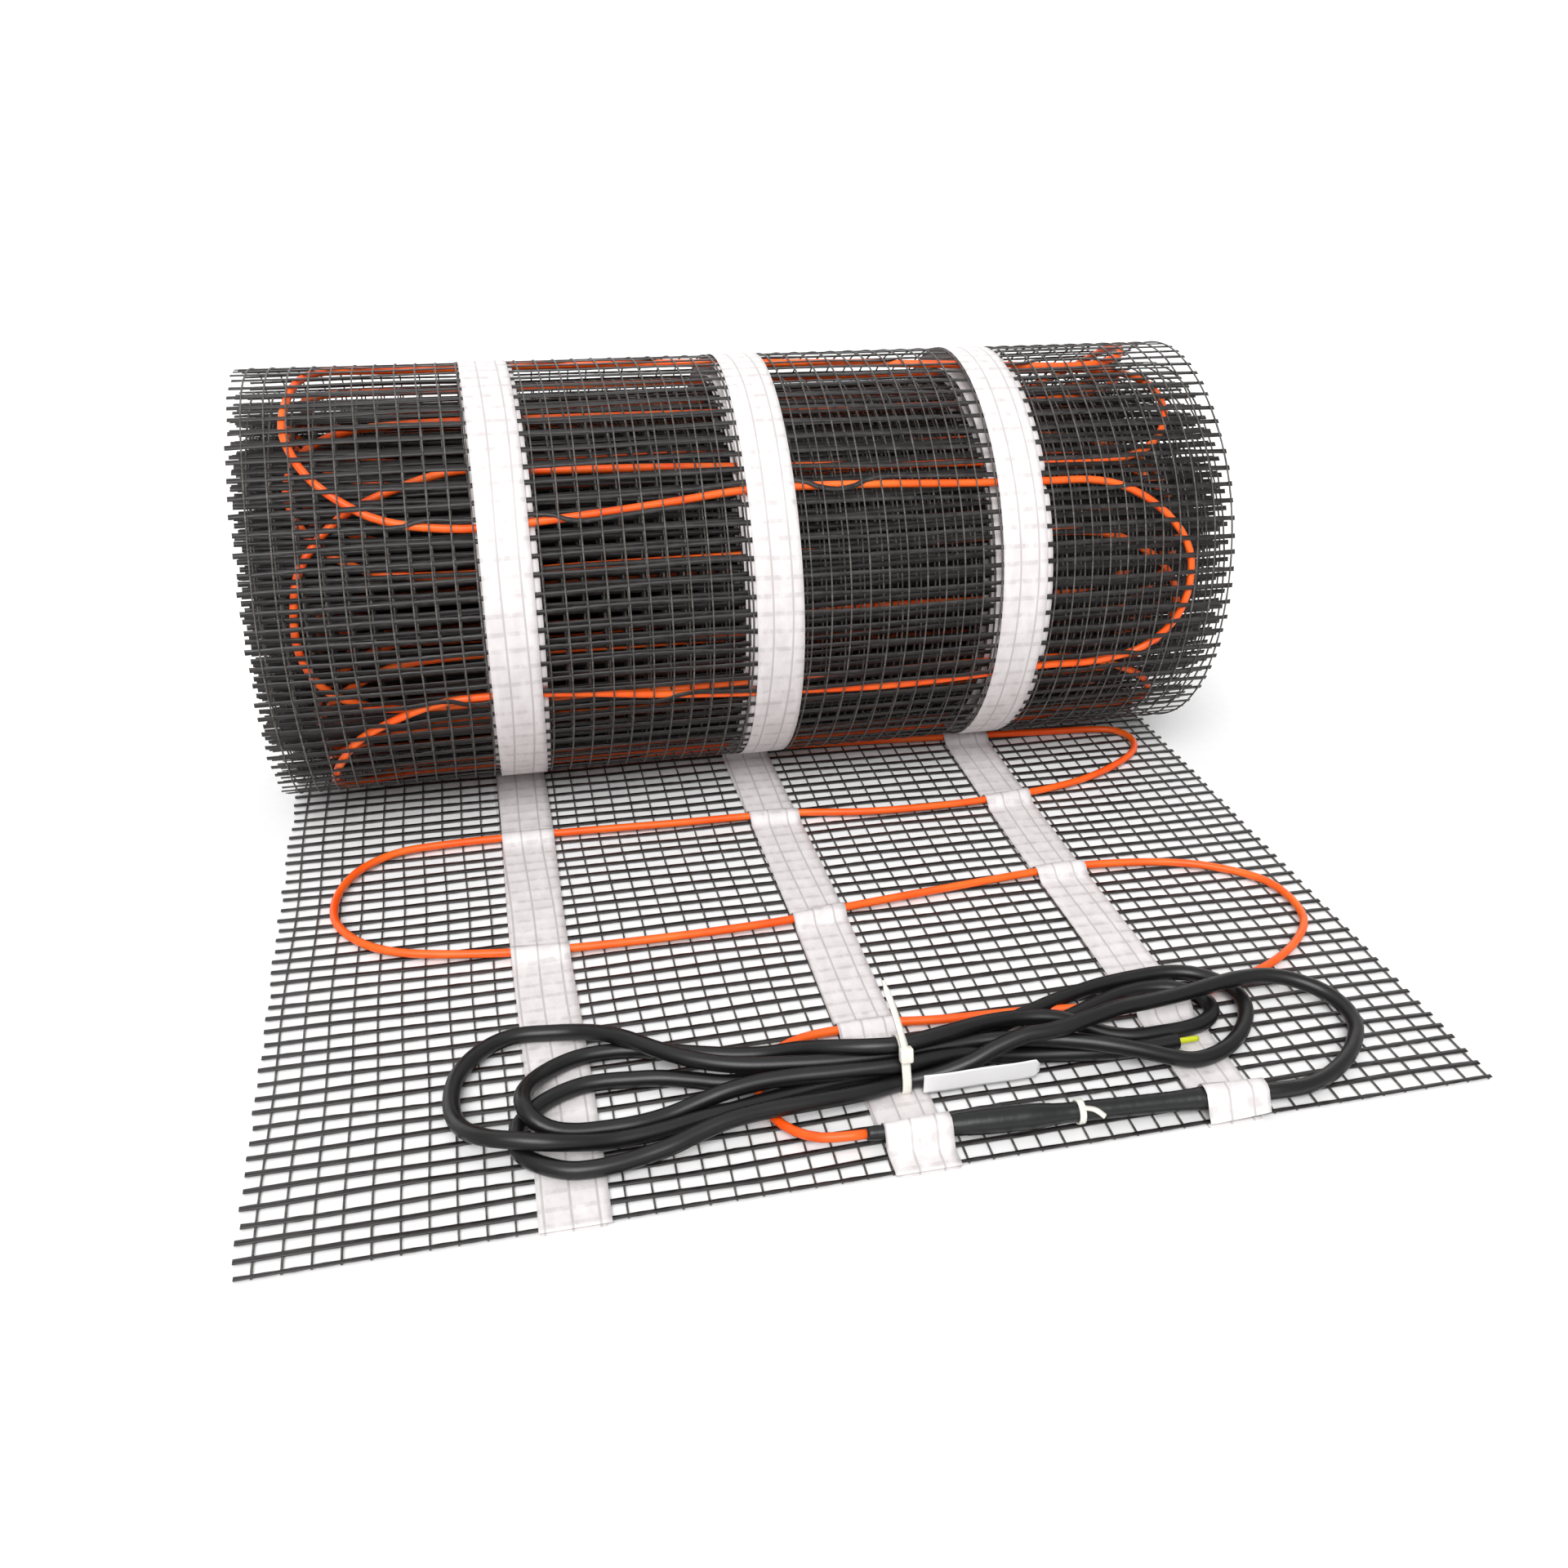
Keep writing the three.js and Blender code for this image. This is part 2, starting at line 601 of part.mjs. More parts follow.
place("mesh_flat", meshGeometry(), finishes.mesh);
place("mesh_roll", rollGeometry(), finishes.mesh).position.set(0, FLAT_LENGTH, ROLL_RADIUS);
place("heating_cable", tube(cableCurve, cableRadius, 8, CABLE_STEPS), finishes.cable);
for (const [name, centreX] of Object.entries(tapeCentres)) {
  place(name, tapeGeometry(centreX), finishes.tape);
  place(name.replace("tape", "back_tape"), backTapeGeometry(centreX), finishes.tape);
  place(name.replace("tape", "roll_tape"), rollTapeGeometry(centreX), finishes.tape);
}

const sleeve = place("joint_sleeve", sleeveGeometry(), finishes.sleeve);
sleeve.position.copy(sleeveStart);
sleeve.rotation.z = SLEEVE_TURN;
const sleeveTie = place("sleeve_tie", sleeveTieGeometry(), finishes.tie);
sleeveTie.position.copy(sleevePoint(SLEEVE_TIE_AT));
sleeveTie.rotation.z = SLEEVE_TURN;

place("cold_lead", tube(smoothCurve(leadRoute), leadRadius, 10, 26), finishes.lead);
place("cold_lead_hank", hankGeometry(), finishes.lead);
place("hank_tie", hankTieGeometry(), finishes.tie);

const label = new THREE.BoxGeometry(LABEL.length, LABEL.thickness, LABEL.height);
place("lead_label", label, finishes.label).position.set(
  TIE_X + TIE_WIDTH / 2 + 2 + LABEL.length / 2,
  NECK_Y - NECK_WIDTH / 2 - CLEARANCE - LABEL.thickness / 2,
  restHeight + TAPE_THICKNESS + CLEARANCE + LABEL.height / 2,
);

const core = new THREE.CylinderGeometry(CORE_RADIUS, CORE_RADIUS, CORE_LENGTH, 8).rotateZ(Math.PI / 2);
place("lead_core_end", core, finishes.core).position.set(
  CORE_SLOT.left + CLEARANCE + CORE_LENGTH / 2,
  CORE_SLOT.y,
  leadHeight,
);

// The part's origin is the middle of its footprint, on the floor that its back tapes lie on
const part = new THREE.Group();
const rearReach = FLAT_LENGTH + ROLL_RADIUS + backTapeRoom;
mat.position.set(0, -(rearReach - FRONT_FRINGE) / 2, backTapeRoom);
part.add(mat);

export default part;
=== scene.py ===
"""Underfloor heating mat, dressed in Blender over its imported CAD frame.

A black scrim is wound into a roll with its first stretch laid flat. An orange heating cable
winds to and fro on it under adhesive tapes, and ends in a black sleeve and a tied cold lead.
Lengths are written in millimetres and turned to metres with MM.
"""

import logging
import math
from dataclasses import dataclass, field
from enum import Enum
from typing import Sequence

import bmesh
import bpy
import numpy as np
from mathutils import Matrix, Vector


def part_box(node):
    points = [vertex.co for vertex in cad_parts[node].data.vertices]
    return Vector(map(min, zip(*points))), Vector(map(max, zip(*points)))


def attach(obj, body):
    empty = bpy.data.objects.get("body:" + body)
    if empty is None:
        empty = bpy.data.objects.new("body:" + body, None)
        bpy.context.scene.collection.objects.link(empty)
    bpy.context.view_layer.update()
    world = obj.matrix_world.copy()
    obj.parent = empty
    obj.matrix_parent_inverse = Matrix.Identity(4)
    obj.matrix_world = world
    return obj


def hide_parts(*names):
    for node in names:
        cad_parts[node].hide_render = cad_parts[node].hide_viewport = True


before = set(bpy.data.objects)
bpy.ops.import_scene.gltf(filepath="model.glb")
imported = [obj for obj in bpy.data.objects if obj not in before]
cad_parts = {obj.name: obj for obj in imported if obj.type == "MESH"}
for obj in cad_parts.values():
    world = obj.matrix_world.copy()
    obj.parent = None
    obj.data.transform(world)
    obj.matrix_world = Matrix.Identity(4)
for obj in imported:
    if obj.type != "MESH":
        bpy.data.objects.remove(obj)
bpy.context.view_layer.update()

MM = 0.001
log = logging.getLogger("heating_mat")
Point = tuple[float, float, float]
Flat = tuple[float, float]


# Colours and node trees


def linear(hex_colour: int) -> tuple[float, float, float, float]:
    """Turns an sRGB colour into the linear values that Blender's sockets hold.

    Args:
        hex_colour: The colour as 0xRRGGBB.

    Returns:
        Red, green, blue and a full alpha, all linear.
    """
    parts = [((hex_colour >> shift) & 255) / 255 for shift in (16, 8, 0)]
    red, green, blue = (c / 12.92 if c <= 0.04045 else ((c + 0.055) / 1.055) ** 2.4 for c in parts)
    return red, green, blue, 1.0


def add_node(
    tree: bpy.types.NodeTree,
    kind: str,
    settings: dict[str, object] | None = None,
    **links: object,
) -> bpy.types.Node:
    """Adds a node with its settings and links.

    Args:
        tree: The tree that gets the node.
        kind: The node's Blender type.
        settings: Properties by name, and input sockets by "in:NAME" or "in:NUMBER".
        **links: Output sockets to join, by input name, with spaces as underscores, or i0, i1.

    Returns:
        The new node.
    """
    node = tree.nodes.new(kind)
    for name, value in (settings or {}).items():
        if not name.startswith("in:"):
            setattr(node, name, value)
    for name, value in (settings or {}).items():
        if name.startswith("in:"):
            key = name[3:]
            node.inputs[int(key) if key.isdigit() else key].default_value = value
    for name, source in links.items():
        known = name[1:].isdigit() and name[0] == "i"
        tree.links.new(source, node.inputs[int(name[1:]) if known else name.replace("_", " ")])
    return node


def live_output(node: bpy.types.Node, name: str) -> bpy.types.NodeSocket:
    """Finds the output of that name that the node's present setting uses."""
    return next(s for s in node.outputs if s.enabled and s.name == name)


# Finishes


def span(*ends: float) -> dict[str, float]:
    """Settings of a map range node: from low, from high, to low and to high."""
    return {f"in:{place}": end for place, end in enumerate(ends, start=1)}


@dataclass(frozen=True)
class Finish:
    """A material's name and the plain values on its shader.

    Attributes:
        name: Name of the material.
        colour: Its sRGB colour.
        roughness: Its roughness.
        ior: Its index of refraction.
    """

    name: str
    colour: int
    roughness: float
    ior: float = 1.5

    def shader(
        self,
    ) -> tuple[bpy.types.Material, bpy.types.NodeTree, bpy.types.Node, bpy.types.NodeSocket]:
        """Makes the material and sets the values that are the same all over.

        Returns:
            The material, its tree, its shader and a socket of object coordinates.
        """
        material = bpy.data.materials.new(self.name)
        material.use_nodes = True
        tree = material.node_tree
        shader = tree.nodes["Principled BSDF"]
        shader.inputs["Base Color"].default_value = linear(self.colour)
        shader.inputs["Roughness"].default_value = self.roughness
        shader.inputs["IOR"].default_value = self.ior
        return material, tree, shader, add_node(tree, "ShaderNodeTexCoord").outputs["Object"]


@dataclass(frozen=True)
class CoatedScrim(Finish):
    """Glass scrim dipped in black acrylic.

    Fine streaks run along the ribbons as the glass bundles do, and flecks vary the roughness;
    where both are strong, a paler painted sheen makes single places seem to catch the light.
    """

    streak_mm: float = 0.35
    streaks_along: float = 40.0
    fleck_mm: float = 5.0
    # The paler colour, painted in as sheen where streaks and flecks meet.
    painted_sheen: int = 0x453F3E

    def make(self) -> bpy.types.Material:
        """Builds the material. Streaks are drawn at a third of a millimetre, as fine as shows."""
        material, tree, shader, place = self.shader()
        fine = 1 / (self.streak_mm * MM)
        along = add_node(
            tree, "ShaderNodeMapping", {"in:Scale": (self.streaks_along, fine, fine)}, Vector=place
        ).outputs["Vector"]
        lines = add_node(
            tree, "ShaderNodeTexNoise", {"in:Scale": 1.0, "in:Detail": 2.0}, Vector=along
        ).outputs["Fac"]
        flecks = add_node(
            tree,
            "ShaderNodeTexNoise",
            {"in:Scale": 1 / (self.fleck_mm * MM), "in:Detail": 4.0, "in:Roughness": 0.65},
            Vector=place,
        ).outputs["Fac"]
        # Where streaks and flecks are both strong, the paler colour is mixed in as painted sheen.
        both = add_node(tree, "ShaderNodeMath", {"operation": "MULTIPLY"}, i0=lines, i1=flecks)
        painted_sheen = add_node(
            tree, "ShaderNodeMapRange", span(0.2, 0.42, 0.0, 0.75), i0=both.outputs[0]
        ).outputs["Result"]
        tone = {"data_type": "RGBA", "in:6": linear(self.colour), "in:7": linear(self.painted_sheen)}
        tree.links.new(
            add_node(tree, "ShaderNodeMix", tone, i0=painted_sheen).outputs[2], shader.inputs["Base Color"]
        )
        ends = span(0.35, 0.65, self.roughness - 0.1, self.roughness + 0.14)
        rough = add_node(tree, "ShaderNodeMapRange", ends, i0=flecks).outputs["Result"]
        tree.links.new(rough, shader.inputs["Roughness"])
        bump = add_node(
            tree, "ShaderNodeBump", {"in:Strength": 0.5, "in:Distance": 0.15 * MM}, Height=lines
        )
        tree.links.new(bump.outputs["Normal"], shader.inputs["Normal"])
        return material


@dataclass(frozen=True)
class CableSheath(Finish):
    """Extruded fluoropolymer sheath: smooth and waxy.

    A slow drift in its colour keeps long runs from looking printed.
    """

    pale: int = 0xFF7A2A
    patch_mm: float = 28.0
    grain_mm: float = 0.5

    def make(self) -> bpy.types.Material:
        """Builds the material. Its grain of half a millimetre only roughens the highlight."""
        material, tree, shader, place = self.shader()
        patches, grain = (
            add_node(
                tree,
                "ShaderNodeTexNoise",
                {"in:Scale": 1 / (size * MM), "in:Detail": detail},
                Vector=place,
            ).outputs["Fac"]
            for size, detail in ((self.patch_mm, 3.0), (self.grain_mm, 2.0))
        )
        drift = add_node(
            tree, "ShaderNodeMapRange", span(0.35, 0.7, 0.0, 0.7), i0=patches
        ).outputs["Result"]
        tone = {"data_type": "RGBA", "in:6": linear(self.colour), "in:7": linear(self.pale)}
        tree.links.new(
            add_node(tree, "ShaderNodeMix", tone, i0=drift).outputs[2], shader.inputs["Base Color"]
        )
        bump = add_node(
            tree, "ShaderNodeBump", {"in:Strength": 0.12, "in:Distance": 0.05 * MM}, Height=grain
        )
        tree.links.new(bump.outputs["Normal"], shader.inputs["Normal"])
        shader.inputs["Coat Weight"].default_value = 0.15
        shader.inputs["Coat Roughness"].default_value = 0.3
        return material


@dataclass(frozen=True)
class FixingTape(Finish):
    """Non-woven polyester tape: milky and slightly see-through.

    Short fibres dull its sheen, soft creases break it up and have painted shade in their hollows,
    and the mesh that it is glued to shows through as thin grey lines of painted shade.
    """

    # Darker white painted into the crease hollows as shade.
    painted_crease_shade: int = 0xE4DEDE
    # Grey painted as shade of the mesh under the tape.
    print_through: int = 0x9C9696
    opacity: float = 0.94
    fibre_mm: float = 0.5
    crease_mm: float = 9.0

    def make(self) -> bpy.types.Material:
        """Builds the material. Creases a few millimetres apart break up its satin sheen."""
        material, tree, shader, place = self.shader()
        shader.inputs["Alpha"].default_value = self.opacity
        stretched = [
            add_node(tree, "ShaderNodeMapping", {"in:Scale": scale}, Vector=place).outputs["Vector"]
            for scale in ((1.6, 1.0, 1.0), (1.0, 0.35, 1.0))
        ]
        creases = add_node(
            tree,
            "ShaderNodeTexNoise",
            {"in:Scale": 1 / (self.crease_mm * MM), "in:Detail": 5.0, "in:Roughness": 0.6},
            Vector=stretched[0],
        ).outputs["Fac"]
        fibres = add_node(
            tree,
            "ShaderNodeTexNoise",
            {"in:Scale": 1 / (self.fibre_mm * MM), "in:Detail": 2.0},
            Vector=stretched[1],
        ).outputs["Fac"]
        # Low crease values, the hollows, take the darker white: painted shade.
        tone = add_node(
            tree, "ShaderNodeMapRange", span(0.38, 0.68, 0.0, 1.0), i0=creases
        ).outputs["Result"]
        whites = {"data_type": "RGBA", "in:6": linear(self.painted_crease_shade), "in:7": linear(self.colour)}
        plain = add_node(tree, "ShaderNodeMix", whites, i0=tone).outputs[2]
        # Strand lines and ribbon shadows of the mesh under the tape, painted as grey shade.
        grey = {"data_type": "RGBA", "in:7": linear(self.print_through)}
        painted_mesh_shade_share = self.painted_mesh_shade_share(tree, creases)
        through = add_node(tree, "ShaderNodeMix", grey, i0=painted_mesh_shade_share, i6=plain)
        tree.links.new(through.outputs[2], shader.inputs["Base Color"])
        deep = add_node(
            tree, "ShaderNodeBump", {"in:Strength": 0.4, "in:Distance": 0.6 * MM}, Height=creases
        )
        fine = add_node(
            tree,
            "ShaderNodeBump",
            {"in:Strength": 0.3, "in:Distance": 0.08 * MM},
            Height=fibres,
            Normal=deep.outputs["Normal"],
        )
        tree.links.new(fine.outputs["Normal"], shader.inputs["Normal"])
        return material

    @staticmethod
    def painted_mesh_shade_share(tree: bpy.types.NodeTree, creases: bpy.types.NodeSocket) -> bpy.types.NodeSocket:
        """Finds where the glued tape shows painted mesh shade: thin strands and faint ribbons.

        Args:
            tree: The material's tree.
            creases: The pattern that lifts the tape off here and there.

        Returns:
            The share of painted mesh shade.
        """
        cells = add_node(tree, "ShaderNodeUVMap", {"uv_map": "mesh_cells"}).outputs["UV"]
        parts = add_node(tree, "ShaderNodeSeparateXYZ", Vector=cells)
        shares = []
        for axis, line, soft, strength in (("X", 0.03, 0.065, 0.5), ("Y", 0.1, 0.16, 0.28)):
            value = parts.outputs[axis]
            for operation, number in (("ADD", 0.5), ("FRACT", 0.0), ("SUBTRACT", 0.5), ("ABSOLUTE", 0.0)):
                step = {"operation": operation, "in:1": number}
                value = add_node(tree, "ShaderNodeMath", step, i0=value).outputs[0]
            ends = span(line, soft, strength, 0.0)
            shares.append(add_node(tree, "ShaderNodeMapRange", ends, i0=value).outputs["Result"])
        # Ribbon shadows are painted strongest in the crease hollows, where the tape is pressed on them.
        pressed = add_node(
            tree, "ShaderNodeMapRange", span(0.42, 0.62, 1.0, 0.15), i0=creases
        ).outputs["Result"]
        ribbons = add_node(tree, "ShaderNodeMath", {"operation": "MULTIPLY"}, i0=shares[1], i1=pressed)
        both = add_node(
            tree, "ShaderNodeMath", {"operation": "MAXIMUM"}, i0=shares[0], i1=ribbons.outputs[0]
        )
        return both.outputs[0]


@dataclass(frozen=True)
class SoftPlastic(Finish):
    """A moulded, drawn or shrunk plastic: an even colour, faint ripples and a fine grain."""

    tint: int = 0x000000
    ripple_mm: float = 6.0
    ripple: float = 0.2
    grain_mm: float = 0.4
    grain: float = 0.2
    glow: float = 0.0

    def make(self) -> bpy.types.Material:
        """Builds the material from its ripple and its grain."""
        material, tree, shader, place = self.shader()
        ripples, grain = (
            add_node(
                tree,
                "ShaderNodeTexNoise",
                {"in:Scale": 1 / (size * MM), "in:Detail": detail},
                Vector=place,
            ).outputs["Fac"]
            for size, detail in ((self.ripple_mm, 3.0), (self.grain_mm, 2.0))
        )
        share = add_node(
            tree, "ShaderNodeMapRange", span(0.35, 0.7, 0.0, 0.6), i0=ripples
        ).outputs["Result"]
        tone = {"data_type": "RGBA", "in:6": linear(self.colour), "in:7": linear(self.tint)}
        tree.links.new(
            add_node(tree, "ShaderNodeMix", tone, i0=share).outputs[2], shader.inputs["Base Color"]
        )
        ends = span(0.3, 0.7, self.roughness - 0.06, self.roughness + 0.06)
        rough = add_node(tree, "ShaderNodeMapRange", ends, i0=grain).outputs["Result"]
        tree.links.new(rough, shader.inputs["Roughness"])
        deep = {"in:Strength": self.ripple, "in:Distance": 0.5 * MM}
        fine = {"in:Strength": self.grain, "in:Distance": 0.05 * MM}
        wave = add_node(tree, "ShaderNodeBump", deep, Height=ripples).outputs["Normal"]
        both = add_node(tree, "ShaderNodeBump", fine, Height=grain, Normal=wave)
        tree.links.new(both.outputs["Normal"], shader.inputs["Normal"])
        if self.glow:
            shader.inputs["Subsurface Weight"].default_value = self.glow
            shader.inputs["Subsurface Scale"].default_value = 0.8 * MM
        return material


# Black acrylic on glass ribbons: near-black, with a dull gleam painted in paler flecks as sheen.
SCRIM = CoatedScrim("black_coated_scrim", 0x141111, 0.42)
# Thinly coated glass strands: greyer than the ribbons, so that they read as fine lines.
# Their paler flecks are painted sheen.
STRAND = CoatedScrim("grey_glass_strand", 0x3C3936, 0.5, painted_sheen=0x86817D)
# Orange fluoropolymer: a strong even colour with a soft highlight along the cable.
SHEATH = CableSheath("orange_fluoropolymer_sheath", 0xFF560A, 0.42, 1.4)
# White polyester tape: milky, a little creased; faint painted shade marks crease hollows and the mesh
# under it.
TAPE = FixingTape("white_polyester_tape", 0xF0EBEB, 0.42)
# Heat-shrink: satin black with the ripples that shrinking leaves.
SHRINK_TUBE = SoftPlastic("black_heat_shrink_tube", 0x101112, 0.4, tint=0x191A1B, ripple=0.5)
# PVC lead: satin black with one long soft highlight.
LEAD_RUBBER = SoftPlastic("black_pvc_lead", 0x0C0C0D, 0.38, tint=0x121213, ripple_mm=30.0)
# Natural nylon: off-white that glows a little at its thin edges.
NYLON = SoftPlastic("natural_nylon", 0xEFECE2, 0.42, tint=0xE2DED2, glow=0.2)
# Label film: plain white, nearly matt.
LABEL_FILM = SoftPlastic("white_label_film", 0xF2F1F1, 0.5, tint=0xE9E8E8, ripple_mm=14.0)
# Core insulation: the one yellow-green spot at the lead's end.
CORE_SHEATH = SoftPlastic("yellow_core_sheath", 0xC9CF1D, 0.4, tint=0xB9C41A)
# Studio paper: a matt white floor that takes soft shadows.
BACKDROP = SoftPlastic("white_studio_paper", 0xF6F6F6, 0.9, tint=0xF3F3F3, ripple=0.0, grain=0.05)


# Mesh helpers


def link_piece(name: str, mesh: bpy.types.Mesh, material: bpy.types.Material) -> bpy.types.Object:
    """Puts a finished mesh in the scene as a piece at the origin.

    Args:
        name: The piece's name.
        mesh: Its mesh, in place.
        material: Its one material.

    Returns:
        The object.
    """
    mesh.materials.clear()
    mesh.materials.append(material)
    piece = bpy.data.objects.new(name, mesh)
    bpy.context.scene.collection.objects.link(piece)
    return piece


def mesh_of(name: str, points: np.ndarray, faces: Sequence[Sequence[int]]) -> bpy.types.Mesh:
    """Makes a smooth-shaded mesh.

    Args:
        name: The mesh's name.
        points: Its points, in metres.
        faces: For each face, the numbers of its points.

    Returns:
        The mesh.
    """
    mesh = bpy.data.meshes.new(name)
    mesh.from_pydata([tuple(p) for p in points], [], [tuple(f) for f in faces])
    mesh.update()
    mesh.polygons.foreach_set("use_smooth", [True] * len(mesh.polygons))
    return mesh


def join_pieces(
    name: str, meshes: Sequence[bpy.types.Mesh], material: bpy.types.Material
) -> bpy.types.Object:
    """Joins meshes into one piece.

    Args:
        name: The piece's name.
        meshes: Its parts, which are used up.
        material: Its one material.

    Returns:
        The object.
    """
    shape = bmesh.new()
    for mesh in meshes:
        shape.from_mesh(mesh)
    whole = bpy.data.meshes.new(name)
    shape.to_mesh(whole)
    shape.free()
    for mesh in meshes:
        bpy.data.meshes.remove(mesh)
    return link_piece(name, whole, material)


def smooth_line(points: np.ndarray, step: float) -> np.ndarray:
    """Runs a smooth line through points, by centripetal Catmull-Rom, in even steps.

    Args:
        points: The points, one in a row.
        step: Distance between the points of the result, in the same unit.

    Returns:
        The points of the line.
    """
    p = np.asarray(points, float)
    p = np.vstack([2 * p[0] - p[1], p, 2 * p[-1] - p[-2]])
    dense = []
    for a, b, c, d in zip(p[:-3], p[1:-2], p[2:-1], p[3:]):
        knots = [0.0]
        for one, other in ((a, b), (b, c), (c, d)):
            knots.append(knots[-1] + max(np.linalg.norm(other - one), 1e-9) ** 0.5)
        t0, t1, t2, t3 = knots
        t = np.linspace(t1, t2, 24, endpoint=False)[:, None]
        a1 = (t1 - t) / (t1 - t0) * a + (t - t0) / (t1 - t0) * b
        a2 = (t2 - t) / (t2 - t1) * b + (t - t1) / (t2 - t1) * c
        a3 = (t3 - t) / (t3 - t2) * c + (t - t2) / (t3 - t2) * d
        b1 = (t2 - t) / (t2 - t0) * a1 + (t - t0) / (t2 - t0) * a2
        b2 = (t3 - t) / (t3 - t1) * a2 + (t - t1) / (t3 - t1) * a3
        dense.append((t2 - t) / (t2 - t1) * b1 + (t - t1) / (t2 - t1) * b2)
    line = np.vstack(dense + [p[-2][None]])
    along = np.concatenate([[0], np.cumsum(np.linalg.norm(np.diff(line, axis=0), axis=1))])
    stations = np.linspace(0, along[-1], max(int(round(along[-1] / step)), 2) + 1)
    return np.column_stack([np.interp(stations, along, line[:, i]) for i in range(line.shape[1])])


def tube_mesh(
    name: str, line: np.ndarray, radii: np.ndarray, sides: int
) -> bpy.types.Mesh:
    """Sweeps a round tube with closed ends along a line.

    Args:
        name: The mesh's name.
        line: Centre points, in metres.
        radii: The radius at each, in metres.
        sides: Sides of the ring.

    Returns:
        The mesh, with its faces outwards.
    """
    points, faces = [], []
    tangents = np.gradient(line, axis=0)
    side = Vector((0, 0, 1))
    for centre, along, radius in zip(line, tangents, map(float, radii)):
        forward = Vector(along).normalized()
        side = (side - forward * side.dot(forward)).normalized()
        across = forward.cross(side)
        for k in range(sides):
            turn = 2 * math.pi * k / sides
            around = math.cos(turn) * side + math.sin(turn) * across
            points.append(Vector(centre) + radius * around)
    rings = len(line)
    for ring in range(rings - 1):
        low, high = ring * sides, (ring + 1) * sides
        for k in range(sides):
            n = (k + 1) % sides
            faces.append((low + k, low + n, high + n, high + k))
    faces.append(tuple(range(sides))[::-1])
    faces.append(tuple((rings - 1) * sides + k for k in range(sides)))
    return mesh_of(name, np.array([tuple(p) for p in points]), faces)


def strip_mesh(
    name: str,
    grid: np.ndarray,
    normals: np.ndarray,
    thickness: float,
    cells: np.ndarray | None = None,
) -> bpy.types.Mesh:
    """Gives a grid of points a thickness and closes it on all sides.

    Args:
        name: The mesh's name.
        grid: Points as rows by columns by three, in metres.
        normals: The way that the strip's upper side faces at each point.
        thickness: Its thickness, in metres.
        cells: For each point, its place counted in the mesh's cells, kept as a UV map.

    Returns:
        The mesh, with its faces outwards.
    """
    rows, columns = grid.shape[:2]
    upper = grid + normals * thickness / 2
    lower = grid - normals * thickness / 2
    points = np.vstack([upper.reshape(-1, 3), lower.reshape(-1, 3)])
    count = rows * columns
    faces = []
    for r in range(rows - 1):
        for c in range(columns - 1):
            a, b = r * columns + c, r * columns + c + 1
            d, e = a + columns, b + columns
            faces.append((a, b, e, d))
            faces.append((count + a, count + d, count + e, count + b))
    edge = list(range(columns))
    edge += [r * columns + columns - 1 for r in range(1, rows)]
    edge += [(rows - 1) * columns + c for c in range(columns - 2, -1, -1)]
    edge += [r * columns for r in range(rows - 2, 0, -1)]
    for one, other in zip(edge, edge[1:] + edge[:1]):
        faces.append((one, count + one, count + other, other))
    mesh = mesh_of(name, points, faces)
    lift = Vector(tuple(normals[rows // 2, columns // 2]))
    middle = mesh.polygons[((rows - 1) // 2 * (columns - 1) + columns // 2) * 2]
    if middle.normal.dot(lift) < 0:
        mesh.flip_normals()
    if cells is not None:
        both = np.vstack([cells.reshape(-1, 2)] * 2)
        corners = np.empty(len(mesh.loops), np.int32)
        mesh.loops.foreach_get("vertex_index", corners)
        layer = mesh.uv_layers.new(name="mesh_cells")
        layer.uv.foreach_set("vector", both[corners].astype(np.float32).ravel())
    return mesh


